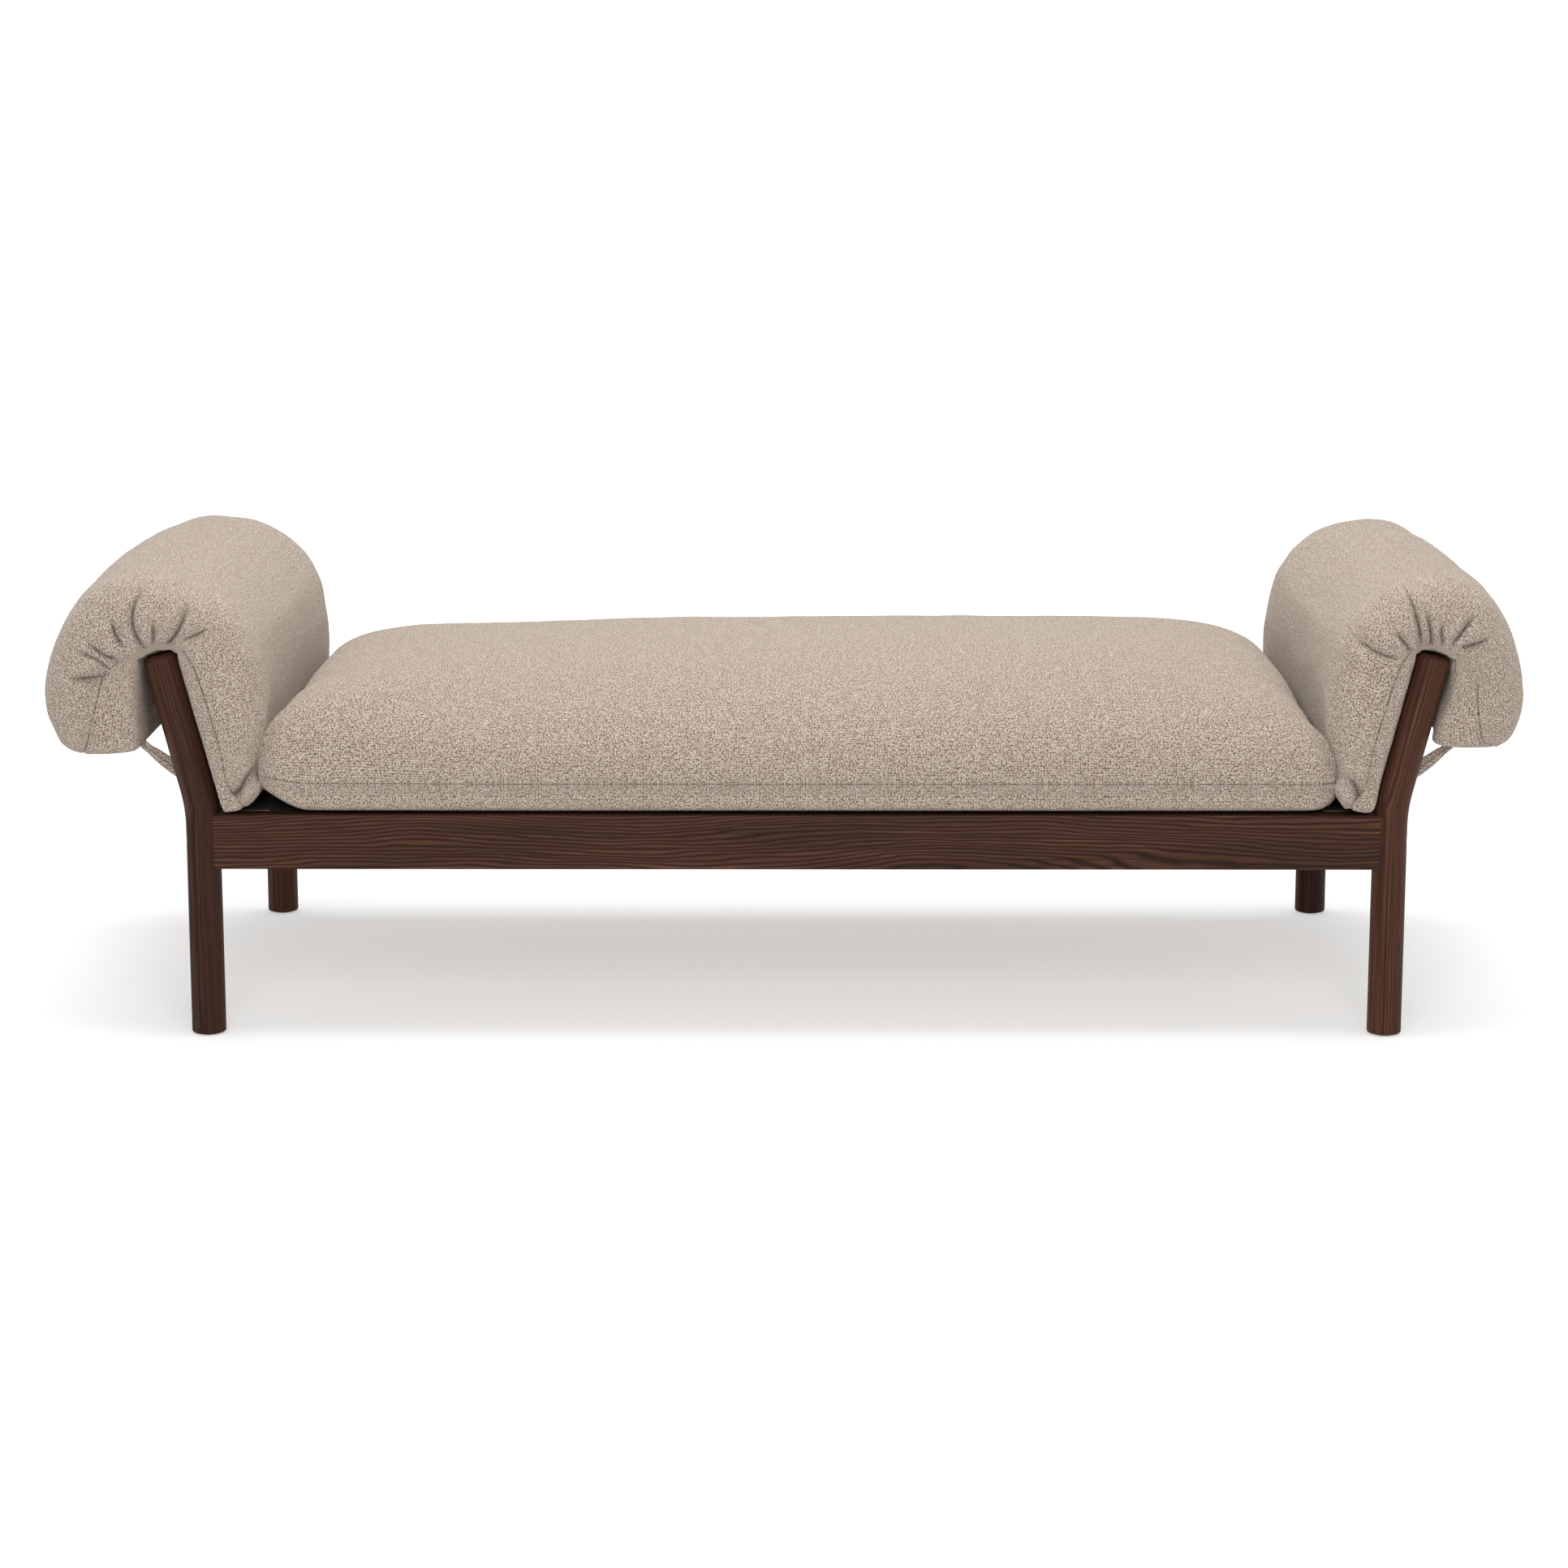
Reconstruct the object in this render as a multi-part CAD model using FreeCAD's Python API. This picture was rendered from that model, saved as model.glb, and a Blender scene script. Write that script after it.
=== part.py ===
import FreeCAD, Part
import math
import os
from FreeCAD import Vector

# A daybed: a wooden frame on four round posts that bend outwards at the top, two long rails bolted
# between two glued end frames, a slatted deck under black cloth, one loose seat cushion, and at each
# end a saddle bolster that hangs over the round top rail and is held down by two cloth straps.
#
# Millimetres. X runs along the daybed, Y from front to back, Z up. The origin is on the floor, midway
# between the four feet. Shapes for one end are made on the +X side and mirrored for the other.

# ---- driving dimensions -------------------------------------------------------------------------
POST_X = 797.0            # post axis to the middle of the daybed, along X
POST_Y = 369.0            # post axis to the middle, along Y
POST_R = 23.0             # radius of the round posts
POST_TOP = 520.0          # height of the post axis at its top end
BEND_Z = 286.0            # height where the post starts to bend
BEND_R = 220.0            # bend radius of the post axis
LEAN = math.radians(14.0)  # outward lean of the upper post
POST_TOP_ROUND = 8.0
POST_FOOT_ROUND = 3.0

GLIDE_H = 2.0             # the nylon glide stands this proud of the post
GLIDE_R = 15.0
GLIDE_ROUND = 0.8
GLIDE_PIN_R = 3.0
GLIDE_PIN_LENGTH = 16.0

RAIL_TOP = 304.0
RAIL_H = 74.0
RAIL_T = 35.0             # thickness of the front and rear rails
END_RAIL_T = 28.0
TOP_RAIL_R = 18.0
TOP_RAIL_Z = 497.0
EDGE_ROUND = 2.0          # eased edges of the rails

SLAT_COUNT = 12
SLAT_W = 68.0
SLAT_T = 14.0
SLAT_X = 742.0            # centre of the outermost slats
DECK_X = 782.0            # half length of the deck
DECK_T = 1.5
DECK_GAP = 0.5            # between the slats' ends, or the deck cloth, and the long rails
LEDGER_W = 22.0
LEDGER_H = 25.0
LEDGER_X = 770.0
BRACE_W = 28.0
BRACE_H = 38.0

SEAT_X = 710.0            # half length of the seat cushion
SEAT_Y = 389.0            # half depth of the seat cushion
SEAT_BASE = 306.0
SEAT_SEAM = 347.0         # height of the seam round the seat cushion
SEAT_SIDE = 440.0         # height where the crown meets the ends
SEAT_CROWN = 500.0
SEAT_ROUND = 45.0
SEAT_FOOT_ROUND = 14.0
SEAT_CORNER = 50.0

BOLSTER_Y = 397.0         # half depth of a bolster
BOLSTER_INNER = 711.5     # face of a bolster against the seat cushion
BOLSTER_OUTER = 1009.0
BOLSTER_BASE = 306.0
BOLSTER_CREST = 637.0
BOLSTER_CORNER = 60.0     # rounding of the outer pad's corners, seen from above
BOLSTER_END_ROUND = 60.0  # rounding of the crest's ends, seen from the side
PAD_FACE = 875.0          # inner face of the outer pad, which hangs outside the posts
PAD_FACE_TOP = 512.0
PAD_TOE = (27.0, 40.0)    # the slope under the inner pad's foot, along X and Z
CHEEK_Z = 480.0           # height where the inner pad starts to round over
INNER_ARC = ((727.5, 560.0), (775.0, 613.0))  # x, z of each arc's middle and end, from inside to outside
CREST_ARC = ((843.0, BOLSTER_CREST), (915.0, 622.0))
OUTER_ARC = ((975.0, 553.0), (BOLSTER_OUTER, 455.0))
LOWER_ARC = ((1000.0, 405.0), (950.0, 381.0))
PAD_EDGE = (892.0, 388.0)
EDGE_ARC = ((880.0, 395.0), (PAD_FACE, 408.0))
COVER_T = 2.5             # thickness of the cushion covers
COVER_GAP = 0.2           # between a cover and its core

STRAP_W = 18.0
STRAP_T = 4.0
STRAP_Y = 342.0           # middle of a strap, just inside the posts
STRAP_REACH = 125.0       # from the hinge past the inner pad's face, before the end is trimmed to it
STRAP_HINGE = (868.5, 391.5)  # x, z of the sewn end
STRAP_SLOPE = math.radians(36.5)
STRAP_FOOT = (-30.0, -2.0)  # span of the strap's foot along the lean, from the end of the bend
STRAP_GAP = 0.3           # between the foot and the patch
SLOT_CLEARANCE = 1.0      # between a post and the bolster's inner pad
SLOT_RISE = 1.5           # between a post's top and the fold over it
SLOT_OUTER_GAP = 2.0      # between a post's outer side and the fold
PATCH_T = 1.4
PATCH_RIM = 3.0           # how far a patch reaches past the strap's foot
TRIM_REACH = 200.0        # size of the block that trims a strap to the patch

ZIP_W = 12.0
SEAT_ZIP_X = 450.0        # half length of the seat cushion's zip
SEAT_ZIP_Z = 327.0
BOLSTER_ZIP_Y = 310.0
BOLSTER_ZIP_Z = 430.0
SLIDER_REST = 12.0        # from a closed zip's end to the middle of its slider
SLIDER_W = 12.0
SLIDER_H = 10.0
SLIDER_FACES = (0.3, 3.6)  # back and front of the slider's body, out from the tape
SLIDER_ROUND = 1.2
BRIDGE_W = 8.0
BRIDGE_Z = (-1.2, 4.0)
PULL_W = 6.0
PULL_FACES = (3.9, 5.2)
PULL_Z = (-26.0, 0.4)
PULL_ROUND = 1.5

BOLT_R = 4.0              # M8
BOLT_LENGTH = 80.0
BOLT_HEAD_R = 6.5
BOLT_HEAD_H = 8.0
BOLT_HEAD_DEPTH = 10.0    # depth of the counterbore in the post
BOLT_HEAD_GAP = 1.0       # round a bolt's head in its counterbore
BOLT_KEY = 6.0            # across the flats of the hexagon socket
BORE_X = (700.0, 900.0)   # a bolt's bore is cut between these
NUT_R = 6.0
NUT_H = 18.0
NUT_X = 740.0
DOWEL_R = 4.0
DOWEL_LENGTH = 36.0
TOP_DOWEL_R = 5.0
TOP_DOWEL_LENGTH = 40.0
RAIL_DOWEL_TIP = 9.0      # from a post's axis to the tips of the dowels that enter it
END_DOWEL_TIP = 8.0
TOP_DOWEL_TIP = 7.0
RAIL_DOWEL_RISE = 20.0    # from the middle of the rails up or down to each dowel
END_DOWEL_RISE = 10.0
BRACE_DOWEL_EDGE = 10.0   # from the brace's edges to its dowels
SCREW_R = 2.0
SCREW_HEAD_R = 4.0
SCREW_HEAD_H = 2.5
SLAT_SCREW_LENGTH = 30.0
LEDGER_SCREW_BITE = 17.0  # how far a ledger screw goes into the rail
LEDGER_SCREW_PLACES = (-5, -3, -1, 1, 3, 5)  # in slat pitches from the middle
FIT = 0.1                 # clearance round pins, bolts and screws
JOINT_GAP = 0.2           # between a rail's shaped end and its post

# ---- worked out from them -----------------------------------------------------------------------
RAIL_BASE = RAIL_TOP - RAIL_H
RAIL_MID = RAIL_TOP - RAIL_H / 2
RAIL_INNER_Y = POST_Y - RAIL_T / 2
END_RAIL_INNER_X = POST_X - END_RAIL_T / 2
SLAT_BASE = RAIL_TOP - SLAT_T
LEDGER_BASE = SLAT_BASE - LEDGER_H
LEDGER_MID_Y = RAIL_INNER_Y - LEDGER_W / 2
SLAT_PITCH = 2 * SLAT_X / (SLAT_COUNT - 1)
BEND_END = (POST_X + BEND_R * (1 - math.cos(LEAN)), BEND_Z + BEND_R * math.sin(LEAN))
TOP_RAIL_X = BEND_END[0] + (TOP_RAIL_Z - BEND_END[1]) * math.tan(LEAN)
PATCH_FACE = PATCH_T - POST_R - SLOT_CLEARANCE
NODES = {}

X_AXIS = Vector(1, 0, 0)
Y_AXIS = Vector(0, 1, 0)
Z_AXIS = Vector(0, 0, 1)
CORNERS = [(name, sx, sy) for name, sx, sy in (("front_left", -1, -1), ("front_right", 1, -1),
                                                ("rear_left", -1, 1), ("rear_right", 1, 1))]


# ---- helpers ------------------------------------------------------------------------------------
def box(x0, x1, y0, y1, z0, z1):
    """A box between two corners."""
    return Part.makeBox(x1 - x0, y1 - y0, z1 - z0, Vector(x0, y0, z0))


def rod(radius, start, end):
    """A round rod from one point to another."""
    way = end - start
    return Part.makeCylinder(radius, way.Length, start, way)


def eased(solid, radius, direction):
    """The solid with its straight edges along one direction rounded."""
    edges = [e for e in solid.Edges if isinstance(e.Curve, Part.Line)
             and abs(e.tangentAt(e.FirstParameter).dot(direction)) > 0.999]
    return solid.makeFillet(radius, edges)


def mirrored(shape):
    """The same shape at the other end of the daybed."""
    return shape.mirror(Vector(0, 0, 0), X_AXIS)


def group(solids):
    """Separate solids that share one node."""
    return Part.makeCompound(solids)


def flat_face(start, steps, lift):
    """A face from a start point and steps: (end,) is a line and (via, end) an arc."""
    edges = []
    here = start
    for step in steps:
        if len(step) == 1:
            edges.append(Part.LineSegment(lift(here), lift(step[0])).toShape())
        else:
            edges.append(Part.Arc(lift(here), lift(step[0]), lift(step[1])).toShape())
        here = step[-1]
    return Part.Face(Part.Wire(edges))


def in_lean(along, outward):
    """x, z of a point given along the leaning post axis and outward from it."""
    return (BEND_END[0] + along * math.sin(LEAN) + outward * math.cos(LEAN),
            BEND_END[1] + along * math.cos(LEAN) - outward * math.sin(LEAN))


# ---- wooden frame -------------------------------------------------------------------------------
def post_blank(radius, sx, sy):
    """A post of the given radius along the bent axis, without its rounded ends."""
    y = sy * POST_Y
    foot = Vector(sx * POST_X, y, GLIDE_H)
    bend = Vector(sx * POST_X, y, BEND_Z)
    bend_end = Vector(sx * BEND_END[0], y, BEND_END[1])
    top_x = BEND_END[0] + (POST_TOP - BEND_END[1]) * math.tan(LEAN)
    disc = Part.Face(Part.Wire(Part.makeCircle(radius, bend, Z_AXIS)))
    elbow = disc.revolve(Vector(sx * (POST_X + BEND_R), y, BEND_Z), Vector(0, sx, 0), math.degrees(LEAN))
    lower = rod(radius, foot, bend)
    upper = rod(radius, bend_end, Vector(sx * top_x, y, POST_TOP))
    return lower.fuse([elbow, upper]).removeSplitter()


def post(sx, sy):
    """A bent post with a rounded top, bored for its glide, bolt and dowels."""
    blank = post_blank(POST_R, sx, sy)
    rims = sorted((e for e in blank.Edges if isinstance(e.Curve, Part.Circle)
                   and abs(e.Length - 2 * math.pi * POST_R) < 0.1), key=lambda e: e.CenterOfMass.z)
    solid = blank.makeFillet(POST_FOOT_ROUND, [rims[0]])
    rims = sorted((e for e in solid.Edges if isinstance(e.Curve, Part.Circle)
                   and abs(e.Length - 2 * math.pi * POST_R) < 0.1), key=lambda e: e.CenterOfMass.z)
    solid = solid.makeFillet(POST_TOP_ROUND, [rims[-1]])
    head_floor = POST_X + POST_R - BOLT_HEAD_DEPTH
    centre = Vector(0, sy * POST_Y, RAIL_MID)
    inner, floor, outer = (centre + Vector(sx * x, 0, 0) for x in (BORE_X[0], head_floor, BORE_X[1]))
    bores = [rod(BOLT_HEAD_R + BOLT_HEAD_GAP, floor, outer), rod(BOLT_R + FIT, inner, floor),
             glide_pin(sx, sy, FIT)]
    bores += dowels_at(sx, sy, FIT)
    return solid.cut(bores)


def glide_pin(sx, sy, fit):
    """The pin that holds a glide in the foot of its post."""
    foot = Vector(sx * POST_X, sy * POST_Y, GLIDE_H)
    return rod(GLIDE_PIN_R + fit, foot, foot + Vector(0, 0, GLIDE_PIN_LENGTH + fit))


def glide(sx, sy):
    """A nylon floor glide with its pin."""
    foot = Vector(sx * POST_X, sy * POST_Y, 0)
    disc = Part.makeCylinder(GLIDE_R, GLIDE_H, foot)
    lowest = [e for e in disc.Edges if e.BoundBox.ZMax < 0.1 and isinstance(e.Curve, Part.Circle)]
    return disc.makeFillet(GLIDE_ROUND, lowest).fuse(glide_pin(sx, sy, 0)).removeSplitter()


def rail_dowels(sx, sy, fit):
    """Two dowels between a post and its long rail."""
    tip = POST_X - RAIL_DOWEL_TIP + fit
    return [rod(DOWEL_R + fit, Vector(sx * tip, sy * POST_Y, z),
                Vector(sx * (tip - DOWEL_LENGTH - 2 * fit), sy * POST_Y, z))
            for z in (RAIL_MID - RAIL_DOWEL_RISE, RAIL_MID + RAIL_DOWEL_RISE)]


def end_rail_dowels(sx, sy, fit):
    """Two dowels between a post and the end rail, clear of the rail bolt."""
    tip = POST_Y - END_DOWEL_TIP + fit
    return [rod(DOWEL_R + fit, Vector(sx * POST_X, sy * tip, z),
                Vector(sx * POST_X, sy * (tip - DOWEL_LENGTH - 2 * fit), z))
            for z in (RAIL_MID - END_DOWEL_RISE, RAIL_MID + END_DOWEL_RISE)]


def top_rail_dowel(sx, sy, fit):
    """One stouter dowel between a post and the round top rail."""
    tip = POST_Y - TOP_DOWEL_TIP + fit
    return rod(TOP_DOWEL_R + fit, Vector(sx * TOP_RAIL_X, sy * tip, TOP_RAIL_Z),
               Vector(sx * TOP_RAIL_X, sy * (tip - TOP_DOWEL_LENGTH - 2 * fit), TOP_RAIL_Z))


def dowels_at(sx, sy, fit):
    """Every dowel that enters one post."""
    return rail_dowels(sx, sy, fit) + end_rail_dowels(sx, sy, fit) + [top_rail_dowel(sx, sy, fit)]


def rail_bolt(sx, sy, fit):
    """A socket-head bolt from the outer side of a post into the rail."""
    y = sy * POST_Y
    head_floor = POST_X + POST_R - BOLT_HEAD_DEPTH
    seat = Vector(sx * head_floor, y, RAIL_MID)
    shank = rod(BOLT_R + fit, seat, seat - Vector(sx * (BOLT_LENGTH + fit), 0, 0))
    if fit:
        return shank
    top = seat + Vector(sx * BOLT_HEAD_H, 0, 0)
    head = rod(BOLT_HEAD_R, seat, top)
    reach = BOLT_KEY / math.sqrt(3)
    rim = [top + Vector(0, reach * math.cos(math.radians(60 * k)), reach * math.sin(math.radians(60 * k)))
           for k in range(7)]
    socket = Part.Face(Part.makePolygon(rim)).extrude(Vector(-sx * BOLT_HEAD_H / 2, 0, 0))
    return head.fuse(shank).removeSplitter().cut(socket)


def barrel_nut(sx, sy):
    """A barrel nut that stands upright in the rail, round the bolt's shank."""
    low = Vector(sx * NUT_X, sy * POST_Y, RAIL_MID - NUT_H / 2)
    return Part.makeCylinder(NUT_R, NUT_H, low).cut(rail_bolt(sx, sy, FIT))


def nut_pocket(sx, sy):
    """The hole under the rail through which the barrel nut goes in."""
    low = Vector(sx * NUT_X, sy * POST_Y, RAIL_BASE)
    return Part.makeCylinder(NUT_R + FIT, RAIL_H / 2 + NUT_H / 2 + FIT, low)


def screw(head, way):
    """A countersunk wood screw from the middle of its head along a way."""
    tip = head + way
    step = Vector(way).normalize()
    cone = Part.makeCone(SCREW_HEAD_R, SCREW_R, SCREW_HEAD_H, head, way)
    return cone.fuse(rod(SCREW_R, head + step * SCREW_HEAD_H, tip)).removeSplitter()


def ledger_screws(sy):
    """Screws through a ledger into its rail, between the slats."""
    head_y = RAIL_INNER_Y - LEDGER_W
    way = Vector(0, sy * (LEDGER_W + LEDGER_SCREW_BITE), 0)
    return [screw(Vector(place * SLAT_PITCH, sy * head_y, LEDGER_BASE + LEDGER_H / 2), way)
            for place in LEDGER_SCREW_PLACES]


def slat_centre(number):
    """x of a slat, counted from the left."""
    return -SLAT_X + number * SLAT_PITCH


def slat_screws(number):
    """The two screws that hold one slat down on the ledgers."""
    return [screw(Vector(slat_centre(number), sy * LEDGER_MID_Y, RAIL_TOP), Vector(0, 0, -SLAT_SCREW_LENGTH))
            for sy in (-1, 1)]


def long_rail(sy):
    """The front or rear rail, hollowed at its ends round the posts."""
    y = sy * POST_Y
    blank = box(-POST_X, POST_X, y - RAIL_T / 2, y + RAIL_T / 2, RAIL_BASE, RAIL_TOP)
    blank = eased(blank, EDGE_ROUND, X_AXIS)
    cuts = list(ledger_screws(sy))
    for sx in (-1, 1):
        cuts += [post_blank(POST_R + JOINT_GAP, sx, sy), nut_pocket(sx, sy), rail_bolt(sx, sy, FIT)]
        cuts += rail_dowels(sx, sy, FIT)
    return blank.cut(cuts)


def end_rail(sx):
    """The rail across one end at seat height."""
    x = sx * POST_X
    blank = box(x - END_RAIL_T / 2, x + END_RAIL_T / 2, -POST_Y, POST_Y, RAIL_BASE, RAIL_TOP)
    blank = eased(blank, EDGE_ROUND, Y_AXIS)
    cuts = brace_dowels(sx, FIT)
    for sy in (-1, 1):
        cuts += [post_blank(POST_R + JOINT_GAP, sx, sy)] + end_rail_dowels(sx, sy, FIT)
    return blank.cut(cuts)


def top_rail(sx):
    """The round rail between the post tops, inside the fold of the bolster."""
    x = sx * TOP_RAIL_X
    blank = rod(TOP_RAIL_R, Vector(x, -POST_Y, TOP_RAIL_Z), Vector(x, POST_Y, TOP_RAIL_Z))
    cuts = []
    for sy in (-1, 1):
        cuts += [post_blank(POST_R + JOINT_GAP, sx, sy), top_rail_dowel(sx, sy, FIT)]
    return blank.cut(cuts)


def ledger(sy):
    """The strip inside a long rail that the slats lie on."""
    y0, y1 = sorted((sy * RAIL_INNER_Y, sy * (RAIL_INNER_Y - LEDGER_W)))
    blank = box(-LEDGER_X, LEDGER_X, y0, y1, LEDGER_BASE, SLAT_BASE)
    cuts = list(ledger_screws(sy))
    for number in range(SLAT_COUNT):
        cuts += slat_screws(number)
    return blank.cut(cuts)


def slat(number):
    """One slat across the deck."""
    x = slat_centre(number)
    half = RAIL_INNER_Y - DECK_GAP
    blank = box(x - SLAT_W / 2, x + SLAT_W / 2, -half, half, SLAT_BASE, RAIL_TOP)
    return eased(blank, EDGE_ROUND, Y_AXIS).cut(slat_screws(number))


def centre_brace():
    """The bar along the middle, under the slats."""
    end = END_RAIL_INNER_X - JOINT_GAP
    blank = box(-end, end, -BRACE_W / 2, BRACE_W / 2, SLAT_BASE - BRACE_H, SLAT_BASE)
    return blank.cut(brace_dowels(-1, FIT) + brace_dowels(1, FIT))


def brace_dowels(sx, fit):
    """Two dowels between the brace and an end rail."""
    tip = END_RAIL_INNER_X + DOWEL_LENGTH / 2 + fit
    return [rod(DOWEL_R + fit, Vector(sx * tip, 0, z), Vector(sx * (tip - DOWEL_LENGTH - 2 * fit), 0, z))
            for z in (SLAT_BASE - BRACE_H + BRACE_DOWEL_EDGE, SLAT_BASE - BRACE_DOWEL_EDGE)]


def deck_cloth():
    """The black cloth stretched over the slats."""
    half = RAIL_INNER_Y - DECK_GAP
    return box(-DECK_X, DECK_X, -half, half, RAIL_TOP, RAIL_TOP + DECK_T)


# ---- cushions -----------------------------------------------------------------------------------
def crowned_face(half, base, side, crown, low_round, high_round, lift):
    """A flat-based outline with upright sides, rounded corners and an arched top."""
    low = low_round * (1 - math.sqrt(0.5))
    high = high_round * (1 - math.sqrt(0.5))
    shoulder = side - high_round
    return flat_face((-half + low_round, base), [
        ((half - low_round, base),),
        ((half - low, base + low), (half, base + low_round)),
        ((half, shoulder),),
        ((half - high, side - high), (half - high_round, side)),
        ((0, crown), (high_round - half, side)),
        ((high - half, side - high), (-half, shoulder)),
        ((-half, base + low_round),),
        ((low - half, base + low), (-half + low_round, base))], lift)


def seat_solid(inset):
    """The seat cushion's outer form, drawn in by an inset on every side."""
    x = SEAT_X - inset
    y = SEAT_Y - inset
    base = SEAT_BASE + inset
    shape = (base, SEAT_SIDE - inset, SEAT_CROWN - inset, SEAT_FOOT_ROUND - inset, SEAT_ROUND - inset)
    front = crowned_face(x, *shape, lambda p: Vector(p[0], -SEAT_Y, p[1]))
    side = crowned_face(y, *shape, lambda p: Vector(-SEAT_X, p[0], p[1]))
    plan = eased(box(-x, x, -y, y, base, SEAT_CROWN), SEAT_CORNER - inset, Z_AXIS)
    body = front.extrude(Vector(0, 2 * SEAT_Y, 0)).common(side.extrude(Vector(2 * SEAT_X, 0, 0)))
    return body.common(plan)


def seat_zip_strip(fit):
    """The strip of the rear of the seat cover that the zip takes up."""
    half = SEAT_ZIP_X + fit
    low = SEAT_ZIP_Z - ZIP_W / 2 - fit
    return box(-half, half, SEAT_Y - COVER_T, SEAT_Y, low, low + ZIP_W + 2 * fit)


def make_seat():
    """The seat cushion: core, cover base and top, zip tape and slider."""
    cover = seat_solid(0).cut(seat_solid(COVER_T)).cut(seat_zip_strip(FIT))
    seam = box(-SEAT_X, SEAT_X, -SEAT_Y, SEAT_Y, 0, SEAT_SEAM)
    NODES["seat_core"] = seat_solid(COVER_T + COVER_GAP)
    NODES["seat_cover_base"] = cover.common(seam)
    NODES["seat_cover_top"] = cover.cut(seam)
    NODES["seat_zip_tape"] = seat_zip_strip(0)
    slider = zip_slider()
    slider.translate(Vector(-SEAT_ZIP_X + SLIDER_REST, SEAT_Y, SEAT_ZIP_Z))
    NODES["seat_zip_slider"] = slider


def zip_slider():
    """A zip slider with its hanging pull, on a tape that faces +Y and runs along X."""
    body = box(-SLIDER_W / 2, SLIDER_W / 2, *SLIDER_FACES, -SLIDER_H / 2, SLIDER_H / 2)
    bridge = box(-BRIDGE_W / 2, BRIDGE_W / 2, SLIDER_FACES[1], PULL_FACES[1], *BRIDGE_Z)
    pull = box(-PULL_W / 2, PULL_W / 2, *PULL_FACES, *PULL_Z)
    body = eased(body, SLIDER_ROUND, Y_AXIS)
    pull = eased(pull, PULL_ROUND, Y_AXIS)
    return body.fuse([bridge, pull]).removeSplitter()


def bolster_section(inset):
    """A slice across a bolster: inner pad, fold over the top rail, and outer pad."""
    slot_top = (POST_TOP - BEND_END[1]) / math.cos(LEAN) + SLOT_RISE
    slot_inner = -POST_R - SLOT_CLEARANCE
    slot_foot = (BOLSTER_BASE - BEND_END[1]) / math.cos(LEAN) + slot_inner * math.tan(LEAN)
    toe = (BOLSTER_INNER + PAD_TOE[0], BOLSTER_BASE)
    face = flat_face(toe, [
        ((BOLSTER_INNER, BOLSTER_BASE + PAD_TOE[1]),),
        ((BOLSTER_INNER, CHEEK_Z),),
        INNER_ARC,
        CREST_ARC,
        OUTER_ARC,
        LOWER_ARC,
        (PAD_EDGE,),
        EDGE_ARC,
        ((PAD_FACE, PAD_FACE_TOP),),
        (in_lean(slot_top, POST_R + SLOT_OUTER_GAP),),
        (in_lean(slot_top, slot_inner),),
        (in_lean(slot_foot, slot_inner),),
        (toe,)], lambda p: Vector(p[0], -BOLSTER_Y, p[1]))
    return face.makeOffset2D(-inset) if inset else face


def bolster_solid(inset):
    """A bolster's outer form at the +X end, drawn in by an inset on every side."""
    y = BOLSTER_Y - inset
    x0 = BOLSTER_INNER - BOLSTER_CORNER
    body = bolster_section(inset).extrude(Vector(0, 2 * BOLSTER_Y, 0))
    plan = eased(box(x0, BOLSTER_OUTER - inset, -y, y, BOLSTER_BASE, BOLSTER_CREST),
                 BOLSTER_CORNER - inset, Z_AXIS)
    side = eased(box(x0, BOLSTER_OUTER, -y, y, BOLSTER_BASE - BOLSTER_CORNER, BOLSTER_CREST - inset),
                 BOLSTER_END_ROUND - inset, X_AXIS)
    return body.common(plan).common(side)


def bolster_zip_strip(fit):
    """The strip of the cover on the outer pad's inner face that the zip takes up."""
    half = BOLSTER_ZIP_Y + fit
    low = BOLSTER_ZIP_Z - ZIP_W / 2 - fit
    return box(PAD_FACE, PAD_FACE + COVER_T, -half, half, low, low + ZIP_W + 2 * fit)


def lean_box(along, outward, y0, y1):
    """A box square to the leaning posts, from its two spans along and outward of their axis."""
    bar = box(outward[0], outward[1], y0, y1, along[0], along[1])
    bar.rotate(Vector(0, 0, 0), Y_AXIS, math.degrees(LEAN))
    bar.translate(Vector(BEND_END[0], 0, BEND_END[1]))
    return bar


def strap_span(sy, width):
    """The lowest and highest y of something that starts at a strap's outer face and runs inwards."""
    outer = STRAP_Y + STRAP_T / 2
    return sorted((sy * outer, sy * (outer - width)))


def strap(sy):
    """A strap behind a post: a flat bar from the outer pad, and a foot that lies on the patch."""
    half = STRAP_W / 2
    y0, y1 = strap_span(sy, STRAP_T)
    bar = box(0, STRAP_REACH, y0, y1, -half, half)
    bar = bar.fuse(rod(half, Vector(0, y0, 0), Vector(0, y1, 0)))
    bar.rotate(Vector(0, 0, 0), Y_AXIS, 180 - math.degrees(STRAP_SLOPE))
    bar.translate(Vector(STRAP_HINGE[0], 0, STRAP_HINGE[1]))
    foot_inner = PATCH_FACE + STRAP_GAP
    foot = lean_box(STRAP_FOOT, (foot_inner, foot_inner + STRAP_T / 2), *strap_span(sy, STRAP_W))
    beyond = lean_box((-TRIM_REACH, TRIM_REACH), (-TRIM_REACH, foot_inner), *strap_span(sy, STRAP_W))
    return bar.fuse(foot).cut(beyond).removeSplitter()


def strap_patch(sy):
    """The hook-and-loop patch sewn to the inner pad, which the foot of the strap presses on."""
    along = (STRAP_FOOT[0] - PATCH_RIM, STRAP_FOOT[1] + PATCH_RIM)
    return lean_box(along, (PATCH_FACE - PATCH_T, PATCH_FACE), *strap_span(sy, STRAP_W))


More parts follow.
